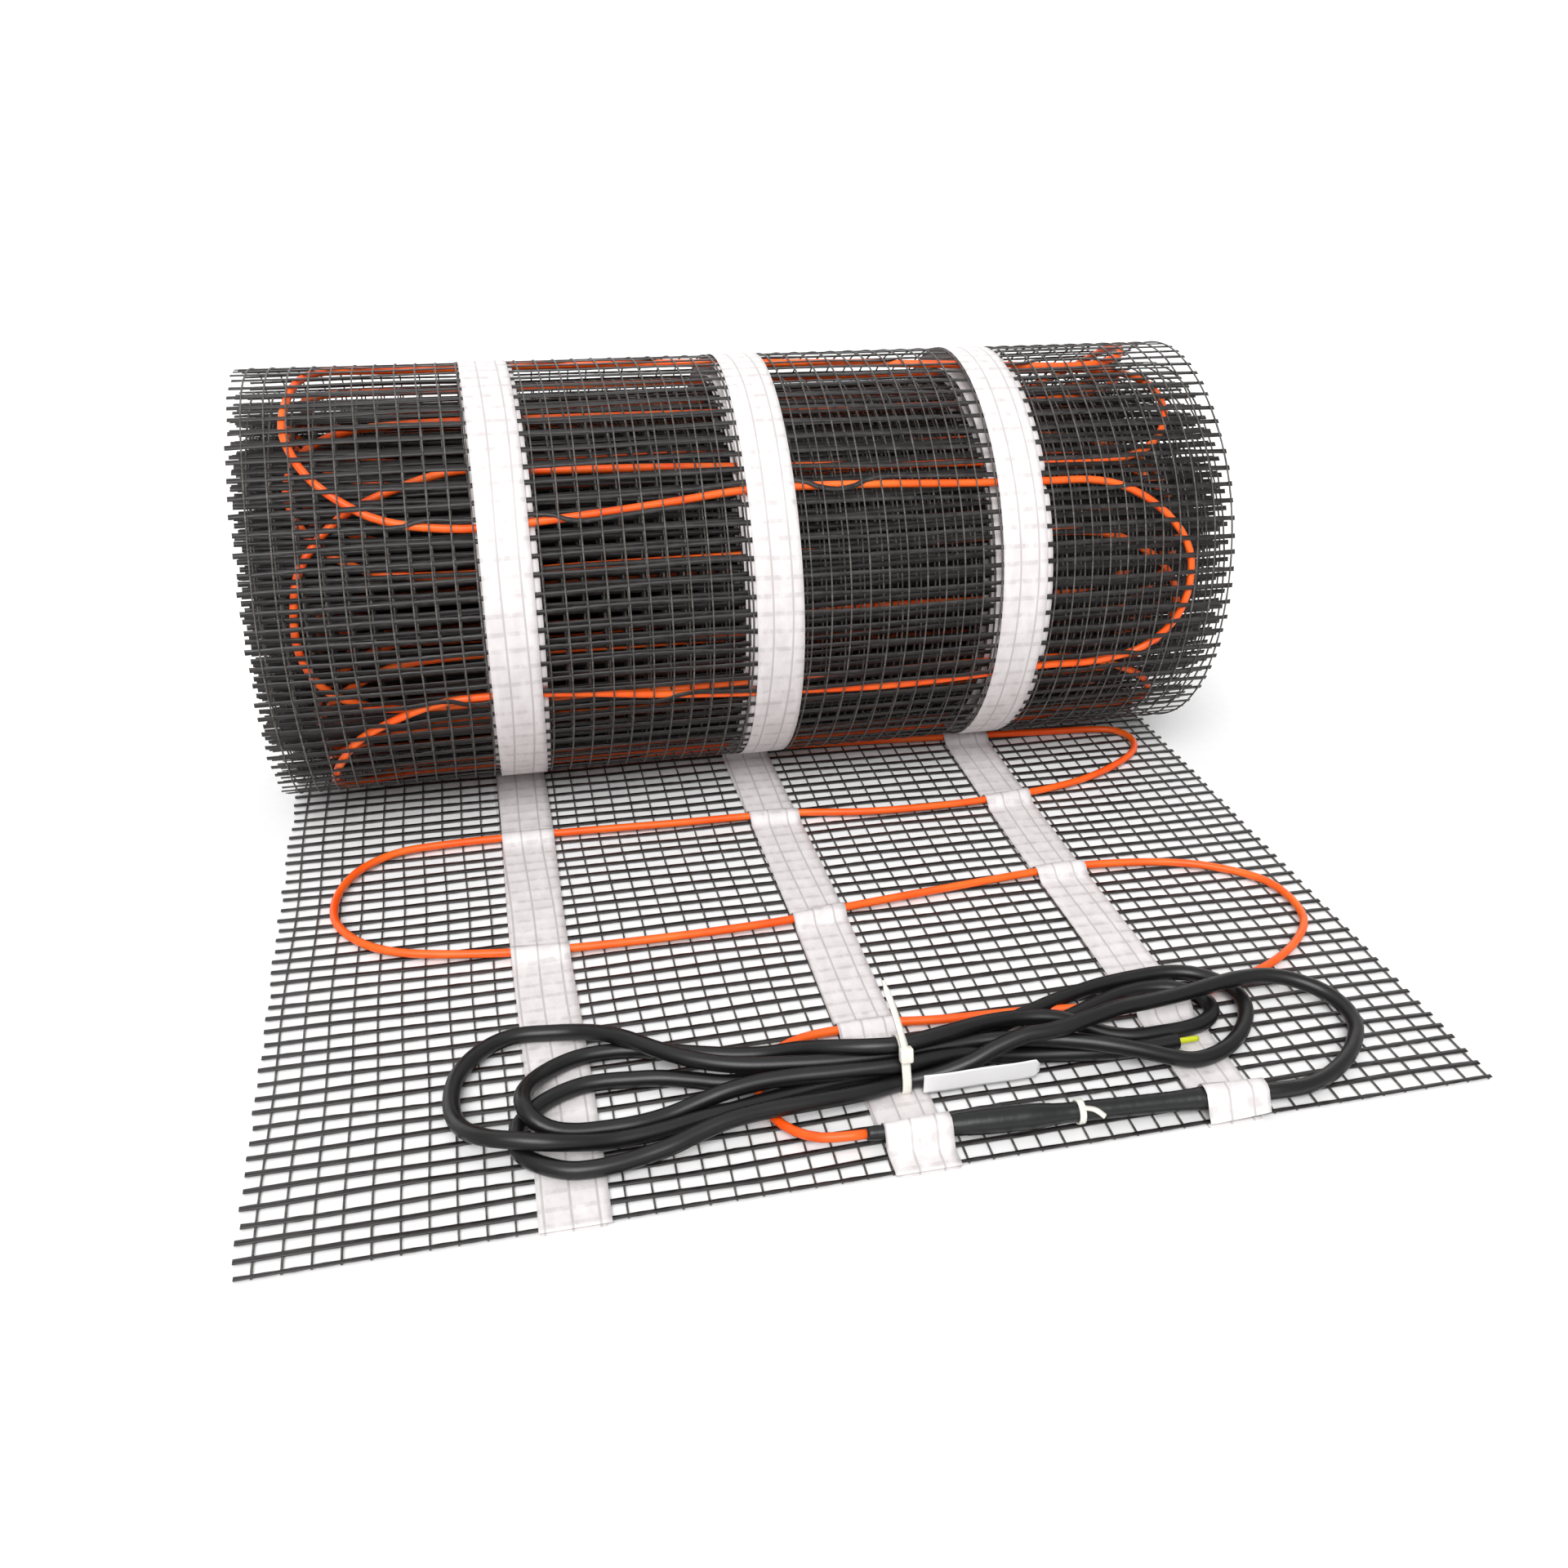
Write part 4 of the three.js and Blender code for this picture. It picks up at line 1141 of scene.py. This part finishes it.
@dataclass
class FixingTapes:
    """Three tapes over the cable and three behind the mesh, each along the whole mat."""

    centres: tuple[float, ...] = (-132.0, 0.0, 132.0)
    names: tuple[str, ...] = ("left", "centre", "right")
    width: float = 26.5
    back_width: float = 24.0
    thickness: float = 0.22
    overhang: float = 2.6
    rest: float = 0.62
    back_shift: tuple[float, ...] = (-2.0, 1.0, -2.0)
    roll_drift: tuple[float, ...] = (5.0, 0.0, 0.0)
    sleeve_clearance: float = 0.6
    columns: int = 9

    def drape(self, x: np.ndarray, s: np.ndarray, cable: np.ndarray, sleeve: JointSleeve) -> np.ndarray:
        """Height of the top tape above the mesh's middle, draped on the cable and the sleeve.

        Args:
            x: Places across the mat.
            s: Places along it.
            cable: The cable's line as x, s and height.
            sleeve: The sleeve under the tapes' front ends.

        Returns:
            The heights.
        """
        height = np.full(x.shape, self.rest)
        near = cable[np.abs(cable[:, 0] - x.mean()) < self.width]
        for low in range(0, x.shape[0], 64):
            part = slice(low, low + 64)
            local = near[(near[:, 1] > s[part].min() - 20) & (near[:, 1] < s[part].max() + 20)]
            if not len(local):
                continue
            gap = np.hypot(x[part, :, None] - local[:, 0], s[part, :, None] - local[:, 1])
            closest = gap.argmin(axis=2)
            distance = gap.min(axis=2)
            top = local[closest, 2] + 2.0 + self.thickness
            share = np.clip((distance - 1.2) / 6.5, 0, 1)
            lifted = top - (top - self.rest) * share * share * (3 - 2 * share)
            height[part] = np.maximum(height[part], lifted)
        turn = math.radians(sleeve.turn)
        along = (x - sleeve.left[0]) / math.cos(turn)
        across = np.abs(s - sleeve.left[1] - along * math.sin(turn))
        covered = (along > -4) & (along < sleeve.length + 4)
        radius = sleeve.radius(along) + self.thickness + self.sleeve_clearance
        share = np.clip((across - radius * 0.35) / (radius * 1.5), 0, 1)
        crown = sleeve.axis_height - 0.4 + radius
        lifted = crown - (crown - self.rest) * share * share * (3 - 2 * share)
        return np.maximum(height, np.where(covered, lifted, 0))

    def stations(self) -> np.ndarray:
        """Places along the mat where a tape gets a row of points, denser where it shows."""
        flat = np.arange(-self.overhang, SHEET.flat_length, 2.2)
        outer = np.arange(SHEET.flat_length, SHEET.s_at(405), 3.2)
        inner = np.arange(SHEET.s_at(405), SHEET.length - 4, 9.0)
        return np.concatenate([flat, outer, inner])

    def strip(
        self,
        name: str,
        centre: float,
        drift: float,
        cable: np.ndarray | None,
        sleeve: JointSleeve,
        phase: float,
    ) -> bpy.types.Mesh:
        """Makes one tape: draped on the cable, or flat behind the mesh when cable is None.

        Args:
            name: The mesh's name.
            centre: Its middle on the flat stretch.
            drift: How far it wanders to the right by the time it is on the roll.
            cable: The cable's line as x, s and height, or None.
            sleeve: The sleeve under the tapes' front ends.
            phase: Where its slow sway starts.

        Returns:
            The mesh.
        """
        s = self.stations()
        width = self.back_width if cable is None else self.width
        across = np.linspace(-0.5, 0.5, self.columns) * width
        sway = 1.2 * np.sin(s / 150 + phase) + 0.5 * np.sin(s / 41 + 2 * phase)
        sway = sway + drift * np.clip((s - 200) / (SHEET.s_at(150) - 200), 0, 1)
        x = centre + across[None, :] + sway[:, None]
        places = np.repeat(s[:, None], self.columns, axis=1)
        if cable is None:
            sag = 0.12 * np.cos(2 * math.pi * places / 9.0)
            height = -0.68 - np.abs(sag)
        else:
            height = self.drape(x, places, cable, sleeve)
            height = height + 0.1 * np.cos(2 * math.pi * places / 9.0)
        grid = SHEET.place(x, places, height)
        normals = SHEET.inward(places)
        return strip_mesh(name, grid, normals, self.thickness * MM, Scrim().cells(x, places))

    def build(
        self, material: bpy.types.Material, cable: HeatingCable, sleeve: JointSleeve
    ) -> list[bpy.types.Object]:
        """Builds the six tapes, each in place of its CAD nodes.

        Args:
            material: The tapes' material.
            cable: The cable under the top tapes.
            sleeve: The sleeve under their front ends.

        Returns:
            The tapes.
        """
        line = cable.line(2.0)
        made = []
        for index, (side, centre) in enumerate(zip(self.names, self.centres)):
            drift, shift = self.roll_drift[index], self.back_shift[index]
            top = self.strip(f"top_tape_{side}", centre, drift, line, sleeve, 1.3 * index)
            phase = 0.7 + index
            back = self.strip(f"under_tape_{side}", centre + shift, drift, None, sleeve, phase)
            behind = [f"back_tape_{side}", f"roll_tape_{side}"]
            for mesh, nodes in ((top, [f"tape_{side}"]), (back, behind)):
                piece = link_piece(mesh.name, mesh, material)
                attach(piece, "root")
                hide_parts(*nodes)
                log.info("%s: %d faces", piece.name, len(mesh.polygons))
                made.append(piece)
        return made


@dataclass
class ColdLead:
    """The black cold lead, bundled in loops on the mat's front and tied at its waist."""

    diameter: float = 7.0
    exit_along: float = 162.3
    route: tuple[Point, ...] = (
        (166, 6.5, 5.2), (178, 11, 4.7), (190, 18.5, 4.6), (200, 28, 4.6), (207.5, 39, 4.7),
        (209.5, 50, 5.6), (205, 61, 7.6), (195, 69, 10), (182, 73, 12.2), (168, 73, 13),
        (152, 70, 13.4), (135, 65.5, 14.4), (118, 61, 16.4), (102, 57, 18.5), (86, 52, 19),
        (74, 49, 18.6), (65.3, 48, 18.4), (58.3, 48, 18.4),
        # under the tie's front, then the left lobe's first loop
        (45, 46.5, 15.5), (32, 44.5, 11), (18, 45, 6.8), (5, 46, 5), (-13, 41, 6.5),
        (-35, 37.5, 8.5), (-55, 35.5, 9.5), (-70, 33, 9.5), (-82, 30, 8), (-92, 27, 6.5),
        (-104.5, 25, 5), (-114.5, 23.5, 4.6), (-123.5, 23, 4.6), (-131.5, 24, 4.6),
        (-139.5, 28, 4.6), (-146.5, 34, 4.6), (-150, 41.5, 4.6), (-149.5, 50, 4.6),
        (-146.5, 57, 4.6), (-141.5, 63, 4.6), (-135, 68, 4.6), (-124.5, 72.5, 4.6),
        (-116, 73.5, 4.6), (-103.5, 72.5, 4.6), (-90.5, 70.5, 4.6), (-78.5, 66.5, 4.6),
        (-66.5, 62, 4.6), (-53.5, 60, 4.6), (-40, 59.5, 5), (-25, 60, 5), (5, 60.3, 5),
        # the right lobe's outer loop
        (22, 62, 5), (36, 65.5, 4.8), (50.5, 71.5, 4.6), (68.5, 79, 4.6), (88.5, 86.5, 4.6),
        (107.5, 92, 4.6), (125.5, 94.5, 4.6), (143.5, 95, 4.6), (154.5, 92, 4.6), (162.5, 85, 4.6),
        (167.5, 76, 4.6), (167.5, 65, 4.6), (162, 53.5, 4.6), (152, 42.5, 4.6), (140.5, 35.5, 4.6),
        (128.5, 33, 4.8), (117.5, 34.5, 7), (105, 38, 10), (92, 42.5, 11.8), (84.4, 46, 11.8),
        (70, 51, 11.8), (55, 55, 11.5), (40, 57.2, 11.2), (5, 56.6, 11.1),
        # the left lobe's outer loop
        (-15, 57, 11.2), (-36, 59, 11.4), (-61, 63.5, 11.6), (-78, 71, 11.8), (-92, 81.5, 11.8),
        (-103, 92, 11.2), (-112, 101, 8.5), (-121, 107.5, 5.8), (-132.5, 111, 4.6),
        (-144.5, 112, 4.6), (-154.5, 109, 4.6), (-164, 101, 4.6), (-171, 89, 4.6),
        (-173.5, 75, 4.6), (-172.5, 63, 5), (-168.5, 52, 7.5), (-161, 43, 10.2), (-151, 37.5, 11.6),
        (-140, 34.5, 11), (-128, 34.5, 8.5), (-115, 36, 5.6), (-102, 37.5, 4.8), (-90.5, 39.5, 4.6),
        (-81.5, 41.5, 4.6), (-68, 44, 4.6), (-45, 48.5, 4.6), (-20, 52, 5), (5, 53.1, 5),
        # the right lobe's inner loop
        (25, 54.6, 5), (45, 59.5, 4.8), (62, 64.5, 4.6), (82.5, 71, 4.6), (92.5, 75, 4.6),
        (104.5, 80, 4.6), (116.5, 84, 4.6), (128, 85.5, 4.6), (139.5, 83.5, 4.6), (148, 78, 4.6),
        (152, 69, 4.6), (150, 61.5, 4.6), (143.5, 56.5, 4.6), (133.5, 54, 4.6), (122.5, 53.6, 4.6),
        (109.5, 54, 4.6), (98, 57, 5.8), (88, 61, 9), (77, 64.5, 12), (62, 66.5, 13), (46, 64, 15),
        (30, 59, 17), (15, 55.5, 17.6), (5, 54.3, 17.5),
        # the left lobe's middle loop
        (-8, 56, 17.3), (-22, 62, 14.8), (-34, 69.5, 10.4), (-46.5, 75, 6), (-58, 78.5, 4.6),
        (-70, 82, 4.6), (-88, 88, 4.6), (-100, 91.5, 4.6), (-112, 92.5, 4.6), (-122, 91.5, 4.6),
        (-131, 87.5, 4.9), (-138.5, 81, 6), (-143.5, 73, 8), (-146, 64, 10.5), (-146, 57, 11.4),
        (-143.5, 51, 9.8), (-137, 46.5, 7), (-128, 44.8, 5.2), (-116, 44.5, 4.6), (-103, 44.8, 4.6),
        (-90, 47, 5), (-78, 49, 7.4), (-68, 50, 9.8), (-55, 51, 11.2), (-40, 51, 11.4),
        (-22, 50, 11.3), (5, 49.5, 11.1),
        # out to the front of the right lobe, where the lead ends
        (18, 51.5, 10.6), (30, 53, 9.2), (42, 52.6, 7.2), (56, 51.8, 5.2), (68, 50.4, 4.6),
        (85, 47.6, 4.6), (100, 45.8, 4.6), (113, 45.8, 4.6), (126.4, 46.4, 4.6),
    )

    def points(self, sleeve: JointSleeve) -> np.ndarray:
        """The route's points in metres, from the sleeve's end on."""
        start = [sleeve.point(self.exit_along), sleeve.point(self.exit_along + 9.7)]
        rest = [(x, y + SHEET.front_y, z + 0.7) for x, y, z in self.route]
        return np.array([tuple(p) for p in start] + rest) * MM

    def build(
        self, material: bpy.types.Material, sleeve: JointSleeve, with_pieces: Sequence[bpy.types.Object]
    ) -> bpy.types.Object:
        """Args:
            material: The lead's material.
            sleeve: The sleeve that it leaves.
            with_pieces: The tie, label and core that ride on it; not used.

        Returns:
            The lead.
        """
        line = smooth_line(self.points(sleeve), 3.0 * MM)
        curve = bpy.data.curves.new("cold_lead_bundle", "CURVE")
        curve.dimensions = "3D"
        curve.bevel_depth = self.diameter / 2 * MM
        curve.bevel_resolution = 5
        curve.use_fill_caps = True
        spline = curve.splines.new("POLY")
        spline.points.add(len(line) - 1)
        for place, target in zip(line, spline.points):
            target.co = (*place, 1)
        spline.use_smooth = True
        curve.materials.append(material)
        piece = bpy.data.objects.new("cold_lead_bundle", curve)
        bpy.context.scene.collection.objects.link(piece)
        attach(piece, "root")
        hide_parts("cold_lead", "cold_lead_hank")
        return piece


@dataclass
class BundleTie:
    """The nylon tie round the lead's waist: ribbed band, head and free tail."""

    x: float = 5.0
    width: float = 3.6
    thickness: float = 1.1

    def loop(self) -> list[tuple[float, float]]:
        """The band's line round the waist as y and z, from the head over the back and under."""
        return [
            (46.4, 17.6), (49.6, 20.6), (54.3, 21.8), (58.6, 19.4), (62.0, 14.4), (64.6, 8.8),
            (64.9, 4.4), (63.2, 1.5), (58.0, 0.7), (50.0, 0.7), (44.4, 0.9), (42.0, 2.8),
            (41.8, 7.0), (43.8, 12.6),
        ]

    def build(self, material: bpy.types.Material) -> bpy.types.Object:
        """Builds the tie from swept strips and a bevelled head, joined into one mesh.

        Args:
            material: The tie's material.

        Returns:
            The tie.
        """
        ring = np.array([(self.x, y, z) for y, z in self.loop()] + [(self.x, 46.4, 17.6)])
        line = smooth_line(ring, 0.7)
        tangents = np.gradient(line, axis=0)
        tangents /= np.linalg.norm(tangents, axis=1)[:, None]
        outward = np.cross(tangents, (-1.0, 0, 0))
        ribs = 0.12 * (np.arange(len(line)) % 2)
        across = np.linspace(-0.5, 0.5, 5) * self.width
        grid = line[:, None, :] + np.array([1.0, 0, 0]) * across[None, :, None]
        grid = grid + outward[:, None, :] * ribs[:, None, None]
        sides = np.repeat(outward[:, None, :], 5, axis=1)
        move = np.array([0, SHEET.front_y, 0.7])
        band = strip_mesh("tie_band", (grid + move) * MM, sides, self.thickness * MM)
        start = np.array((self.x, 45.4, 19.6))
        tail_end = start + np.array((-7.5, 14.0, 30.0)) * 0.93
        bowed = (start + tail_end) / 2 + (0.6, -0.8, 0)
        tail_line = smooth_line(np.array([start, bowed, tail_end]), 1.2)
        tail_across = np.linspace(-0.5, 0.5, 3) * 2.6
        slim = np.clip((len(tail_line) - 1 - np.arange(len(tail_line))) / 4, 0.45, 1)
        reach = tail_across[None, :, None] * slim[:, None, None]
        tail_grid = tail_line[:, None, :] + np.array([0.97, 0.24, 0]) * reach
        tail_sides = np.broadcast_to(np.array([0.2, -0.88, 0.42]), tail_grid.shape)
        tail = strip_mesh("tie_tail", (tail_grid + move) * MM, tail_sides, 1.0 * MM)
        head = self.head(move)
        return join_pieces("bundle_tie", [band, tail, head], material)

    def head(self, move: np.ndarray) -> bpy.types.Mesh:
        """Makes the tie's head: a small moulded block with rounded edges.

        Args:
            move: From the route's places to the part's frame, in millimetres.

        Returns:
            The head's mesh.
        """
        shape = bmesh.new()
        bmesh.ops.create_cube(shape, size=1.0)
        bmesh.ops.scale(shape, vec=Vector((5.4, 4.4, 6.4)) * MM, verts=shape.verts)
        bmesh.ops.bevel(
            shape, geom=shape.edges[:], offset=0.9 * MM, segments=3, affect="EDGES", profile=0.5
        )
        place = Vector(((self.x, 44.8, 19.4) + move)) * MM
        lean = Matrix.Rotation(-0.25, 4, "X")
        bmesh.ops.transform(shape, matrix=Matrix.Translation(place) @ lean, verts=shape.verts)
        mesh = bpy.data.meshes.new("tie_head")
        shape.to_mesh(mesh)
        shape.free()
        mesh.polygons.foreach_set("use_smooth", [True] * len(mesh.polygons))
        return mesh


@dataclass
class SmallPieces:
    """The sleeve's tie, the blank label on the waist and the yellow core at the lead's end."""

    tie_at: float = 86.0
    label_back: float = 10.4
    label_right: float = 3.0

    def sleeve_tie(self, sleeve: JointSleeve, material: bpy.types.Material) -> bpy.types.Object:
        """Builds a small nylon tie round the sleeve, with its tail to the right.

        Args:
            sleeve: The sleeve.
            material: The tie's material.

        Returns:
            The tie.
        """
        centre = sleeve.point(self.tie_at)
        radius = float(sleeve.radius(np.array([self.tie_at]))[0]) + 0.6
        angles = np.linspace(0, 2 * math.pi, 41)
        line = np.array([
            centre + (0, radius * math.cos(a), radius * math.sin(a)) for a in angles
        ])
        outward = np.array([(0, math.cos(a), math.sin(a)) for a in angles])
        across = np.linspace(-0.5, 0.5, 4) * 2.6
        grid = line[:, None, :] + np.array([1.0, 0.0, 0.0]) * across[None, :, None]
        sides = np.repeat(outward[:, None, :], 4, axis=1)
        band = strip_mesh("sleeve_band", grid * MM, sides, 0.9 * MM)
        start = centre + (0.5, -radius * 0.5, radius * 0.8)
        ends = np.array([start, start + (3.5, -3.6, 1.2), start + (6.2, -7.4, 0.4)])
        tail_line = smooth_line(ends, 0.8)
        reach = np.linspace(-1.1, 1.1, 3)[None, :, None]
        tail_grid = tail_line[:, None, :] + np.array([0.75, 0.66, 0]) * reach
        tail_sides = np.broadcast_to(np.array([0.0, 0.1, 1.0]), tail_grid.shape)
        tail = strip_mesh("sleeve_tail", tail_grid * MM, tail_sides, 0.9 * MM)
        piece = join_pieces("sleeve_tie_band", [band, tail], material)
        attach(piece, "root")
        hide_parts("sleeve_tie")
        return piece

    def label(self, material: bpy.types.Material) -> bpy.types.Object:
        """Builds a blank film flag with rounded right corners, against the waist's front.

        Args:
            material: The label's material.

        Returns:
            The label.
        """
        low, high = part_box("lead_label")
        low, high = np.array(low) / MM, np.array(high) / MM
        columns, rows = 29, 9
        u = np.linspace(0, 1, columns)
        y = (low[1] + high[1]) / 2 + self.label_back
        x = low[0] + (high[0] - low[0]) * u + self.label_right
        bow = 0.5 * np.sin(u * math.pi) + 0.25 * np.sin(u * 3 * math.pi)
        reach = (high[2] - low[2]) / 2
        corner = 2.6
        gap = np.clip(x - (x[-1] - corner), 0, None)
        half = reach - corner + np.sqrt(np.clip(corner**2 - gap**2, 0.01, None))
        middle = (low[2] + high[2]) / 2
        v = np.linspace(-1, 1, rows)
        grid = np.zeros((rows, columns, 3))
        grid[..., 0] = x[None, :]
        grid[..., 1] = y - bow[None, :]
        grid[..., 2] = middle + v[:, None] * half[None, :]
        normals = np.broadcast_to(np.array([0.0, -1.0, 0.0]), grid.shape)
        mesh = strip_mesh("lead_label_flag", grid * MM, normals, 0.25 * MM)
        piece = link_piece("lead_label_flag", mesh, material)
        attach(piece, "root")
        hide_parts("lead_label")
        return piece

    def core(self, material: bpy.types.Material) -> bpy.types.Object:
        """Builds the yellow core's short bare end.

        Args:
            material: The core's material.

        Returns:
            The core's end.
        """
        low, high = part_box("lead_core_end")
        middle = (low + high) / 2
        along = np.linspace(low.x - 0.4 * MM, high.x, 9)
        line = np.array([(x, middle.y, middle.z) for x in along])
        radii = np.full(9, (high.z - low.z) / 2)
        radii[-1] *= 0.8
        piece = link_piece("yellow_core_tip", tube_mesh("yellow_core_tip", line, radii, 16), material)
        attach(piece, "root")
        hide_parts("lead_core_end")
        return piece


# Studio


class Lamp(Enum):
    """The studio's soft lights: kind, place and aim in metres, size or angle, and strength."""

    KEY = ("SUN", (-0.3, -0.9, 0.95), (0.0, 0.0, 0.0), math.radians(40), 2.7)
    TOP = ("AREA", (-0.25, 0.1, 1.5), (0.0, 0.0, 0.05), 1.6, 4.0)


@dataclass
class Studio:
    """Camera at the photograph's place, a white floor and soft lights."""

    lens: float = 35.258
    shift_x: float = -0.05
    place: Point = (-0.14798, -0.67316, 0.40322)
    right: Point = (0.96685, -0.25404, 0.02593)
    up: Point = (0.09578, 0.45491, 0.88537)
    forward: Point = (0.23671, 0.85353, -0.46416)

    def camera(self) -> None:
        """Makes the camera, with its lens on a 36 mm sensor."""
        data = bpy.data.cameras.new("studio_camera")
        data.lens = self.lens
        data.sensor_width = 36.0
        data.shift_x = self.shift_x
        data.clip_start = 0.01
        camera = bpy.data.objects.new("studio_camera", data)
        axes = [Vector(self.right), Vector(self.up), -Vector(self.forward)]
        turn = Matrix(axes).transposed().to_4x4()
        camera.matrix_world = Matrix.Translation(self.place) @ turn
        bpy.context.scene.collection.objects.link(camera)
        bpy.context.scene.camera = camera

    def floor(self) -> None:
        """Lays the white floor under the mat, rising softly far behind it."""
        bend = np.linspace(0.1, 1.57, 12)
        y = np.concatenate([[-4.0], np.linspace(-1.0, 2.2, 9), 2.2 + np.sin(bend) * 0.9])
        z = np.concatenate([np.zeros(10), (1 - np.cos(bend)) * 0.9])
        y, z = np.append(y, 3.1), np.append(z, 4.0)
        sides = [np.stack([np.full_like(y, x), y, z], axis=-1) for x in (-5.0, 5.0)]
        grid = np.stack(sides, axis=1)
        rows = len(y)
        faces = [(2 * r, 2 * r + 1, 2 * r + 3, 2 * r + 2) for r in range(rows - 1)]
        mesh = mesh_of("studio_floor", grid.reshape(-1, 3), faces)
        floor = link_piece("studio_floor", mesh, BACKDROP.make())

    def lights(self) -> None:
        """Hangs the soft lights and sets a pale world."""
        for lamp in Lamp:
            kind, place, aim, size, power = lamp.value
            data = bpy.data.lights.new(lamp.name.lower(), kind)
            if kind == "SUN":
                data.angle = size
            else:
                data.size = size
            data.energy = power
            light = bpy.data.objects.new(lamp.name.lower(), data)
            turn = (Vector(aim) - Vector(place)).to_track_quat("-Z", "Y").to_matrix().to_4x4()
            light.matrix_world = Matrix.Translation(place) @ turn
            bpy.context.scene.collection.objects.link(light)
        world = bpy.data.worlds.new("studio")
        world.use_nodes = True
        sky = world.node_tree.nodes["Background"]
        sky.inputs["Color"].default_value = linear(0xFFFFFF)
        sky.inputs["Strength"].default_value = 0.5
        bpy.context.scene.world = world
        bpy.context.scene.view_settings.view_transform = "Standard"


def main() -> None:
    """Builds the studio and every sub-assembly in order."""
    logging.basicConfig(level=logging.INFO, format="%(message)s")
    studio = Studio()
    studio.camera()
    nylon = NYLON.make()
    sleeve = JointSleeve()
    cable = HeatingCable()
    small = SmallPieces()
    tie = BundleTie().build(nylon)
    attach(tie, "root")
    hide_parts("hank_tie")
    label = small.label(LABEL_FILM.make())
    core = small.core(CORE_SHEATH.make())
    ColdLead().build(LEAD_RUBBER.make(), sleeve, [tie, label, core])
    sleeve.build(SHRINK_TUBE.make())
    small.sleeve_tie(sleeve, nylon)
    Scrim().build(SCRIM.make(), STRAND.make(), cable.line(2.0))
    cable.build(SHEATH.make())
    FixingTapes().build(TAPE.make(), cable, sleeve)
    studio.floor()
    studio.lights()


if __name__ == "__main__":
    main()
